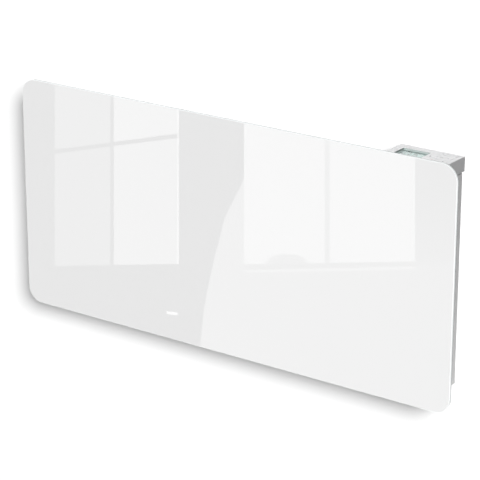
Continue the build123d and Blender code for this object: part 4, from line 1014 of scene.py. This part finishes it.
# %% The right window and its sill
RIGHT_WINDOW_U = (244, 324.7, 329.8, 415.1)
RIGHT_FOOT_V = (264.4, 263.0, 262.9, 261.3)
RIGHT_BRIGHTNESS = (3.7, 3.8)
SILL_DIP = [(307, 263.3), (304, 257.5), (296, 254.5), (280, 254.5), (270, 257.5), (266, 264.0)]
first_u, bar_left_u, bar_right_u, last_u = RIGHT_WINDOW_U
first_v, bar_left_v, bar_right_v, last_v = RIGHT_FOOT_V
left_pane = [(first_u, HEAD_V), (bar_left_u, HEAD_V), (bar_left_u, bar_left_v), *SILL_DIP]
left_pane += [(first_u, first_v)]
add_card("right_window_left", left_pane, RIGHT_BRIGHTNESS[0])
right_pane = [(bar_right_u, HEAD_V), (last_u, HEAD_V), (last_u, last_v), (bar_right_u, bar_right_v)]
add_card("right_window_right", right_pane, RIGHT_BRIGHTNESS[1])

SILL_TOP_V = (270.2, 266.2)
SILL_FOOT_V = (272.8, 269.6)
SILL_SHADOW_BRIGHTNESS = 2.25
SILL_BRIGHTNESS = 3.2
sill_shadow = [(first_u, first_v), (last_u, last_v), (last_u, SILL_TOP_V[1]), (first_u, SILL_TOP_V[0])]
add_card("right_sill_shadow", sill_shadow, SILL_SHADOW_BRIGHTNESS)
sill = [(first_u, SILL_TOP_V[0]), (last_u, SILL_TOP_V[1])]
sill += [(last_u, SILL_FOOT_V[1]), (first_u, SILL_FOOT_V[0])]
add_card("right_sill", sill, SILL_BRIGHTNESS)
print("the right window shows from column", first_u, "to", last_u)

# %% [markdown]
# ## The bright side of the room
#
# The right part of the mirrored room is brighter, with a curved border on its left. Beside the right
# window the wall fades upward, and low on the dark side a small lamp shows as a short bright bar.

# %% The bright side of the room
IMAGE_RIGHT_U = 480
WALL_SPLIT_V = 263
WALL_FOOT_BRIGHTNESS = 2.3
WALL_HEAD_BRIGHTNESS = 1.0
wall_beside = [(last_u, HEAD_V), (IMAGE_RIGHT_U, HEAD_V), (IMAGE_RIGHT_U, WALL_SPLIT_V)]
wall_beside += [(last_u, WALL_SPLIT_V)]
add_card("wall_beside_window", wall_beside, WALL_FOOT_BRIGHTNESS, CARD_DISTANCE, WALL_HEAD_BRIGHTNESS)

LAMP_BAR = [(166.5, 311), (177.5, 312.6), (177.5, 315.7), (166.5, 314.1)]
LAMP_BRIGHTNESS = 4.4
add_card("lamp_bar", LAMP_BAR, LAMP_BRIGHTNESS)

WALL_EDGE = [(246, 176), (242, 183), (225, 217.5), (214, 259), (207, 292), (203, 316), (199, 360)]
WALL_FOOT_V = 440
ROOM_BRIGHTNESS = 2.5
bright_wall = [*WALL_EDGE, (WALL_EDGE[-1][0], WALL_FOOT_V), (IMAGE_RIGHT_U, WALL_FOOT_V)]
bright_wall += [(IMAGE_RIGHT_U, HEAD_V), (WALL_EDGE[0][0], HEAD_V)]
add_card("bright_room_wall", bright_wall, ROOM_BRIGHTNESS, CARD_DISTANCE + CARD_LAYER)
print("the bright wall starts at column", WALL_EDGE[-1][0])

# %% [markdown]
# ## The end
#
# The Standard view keeps the whites of the photograph, where a filmic one would grey them.

# %% Finish
bpy.context.scene.view_settings.view_transform = "Standard"
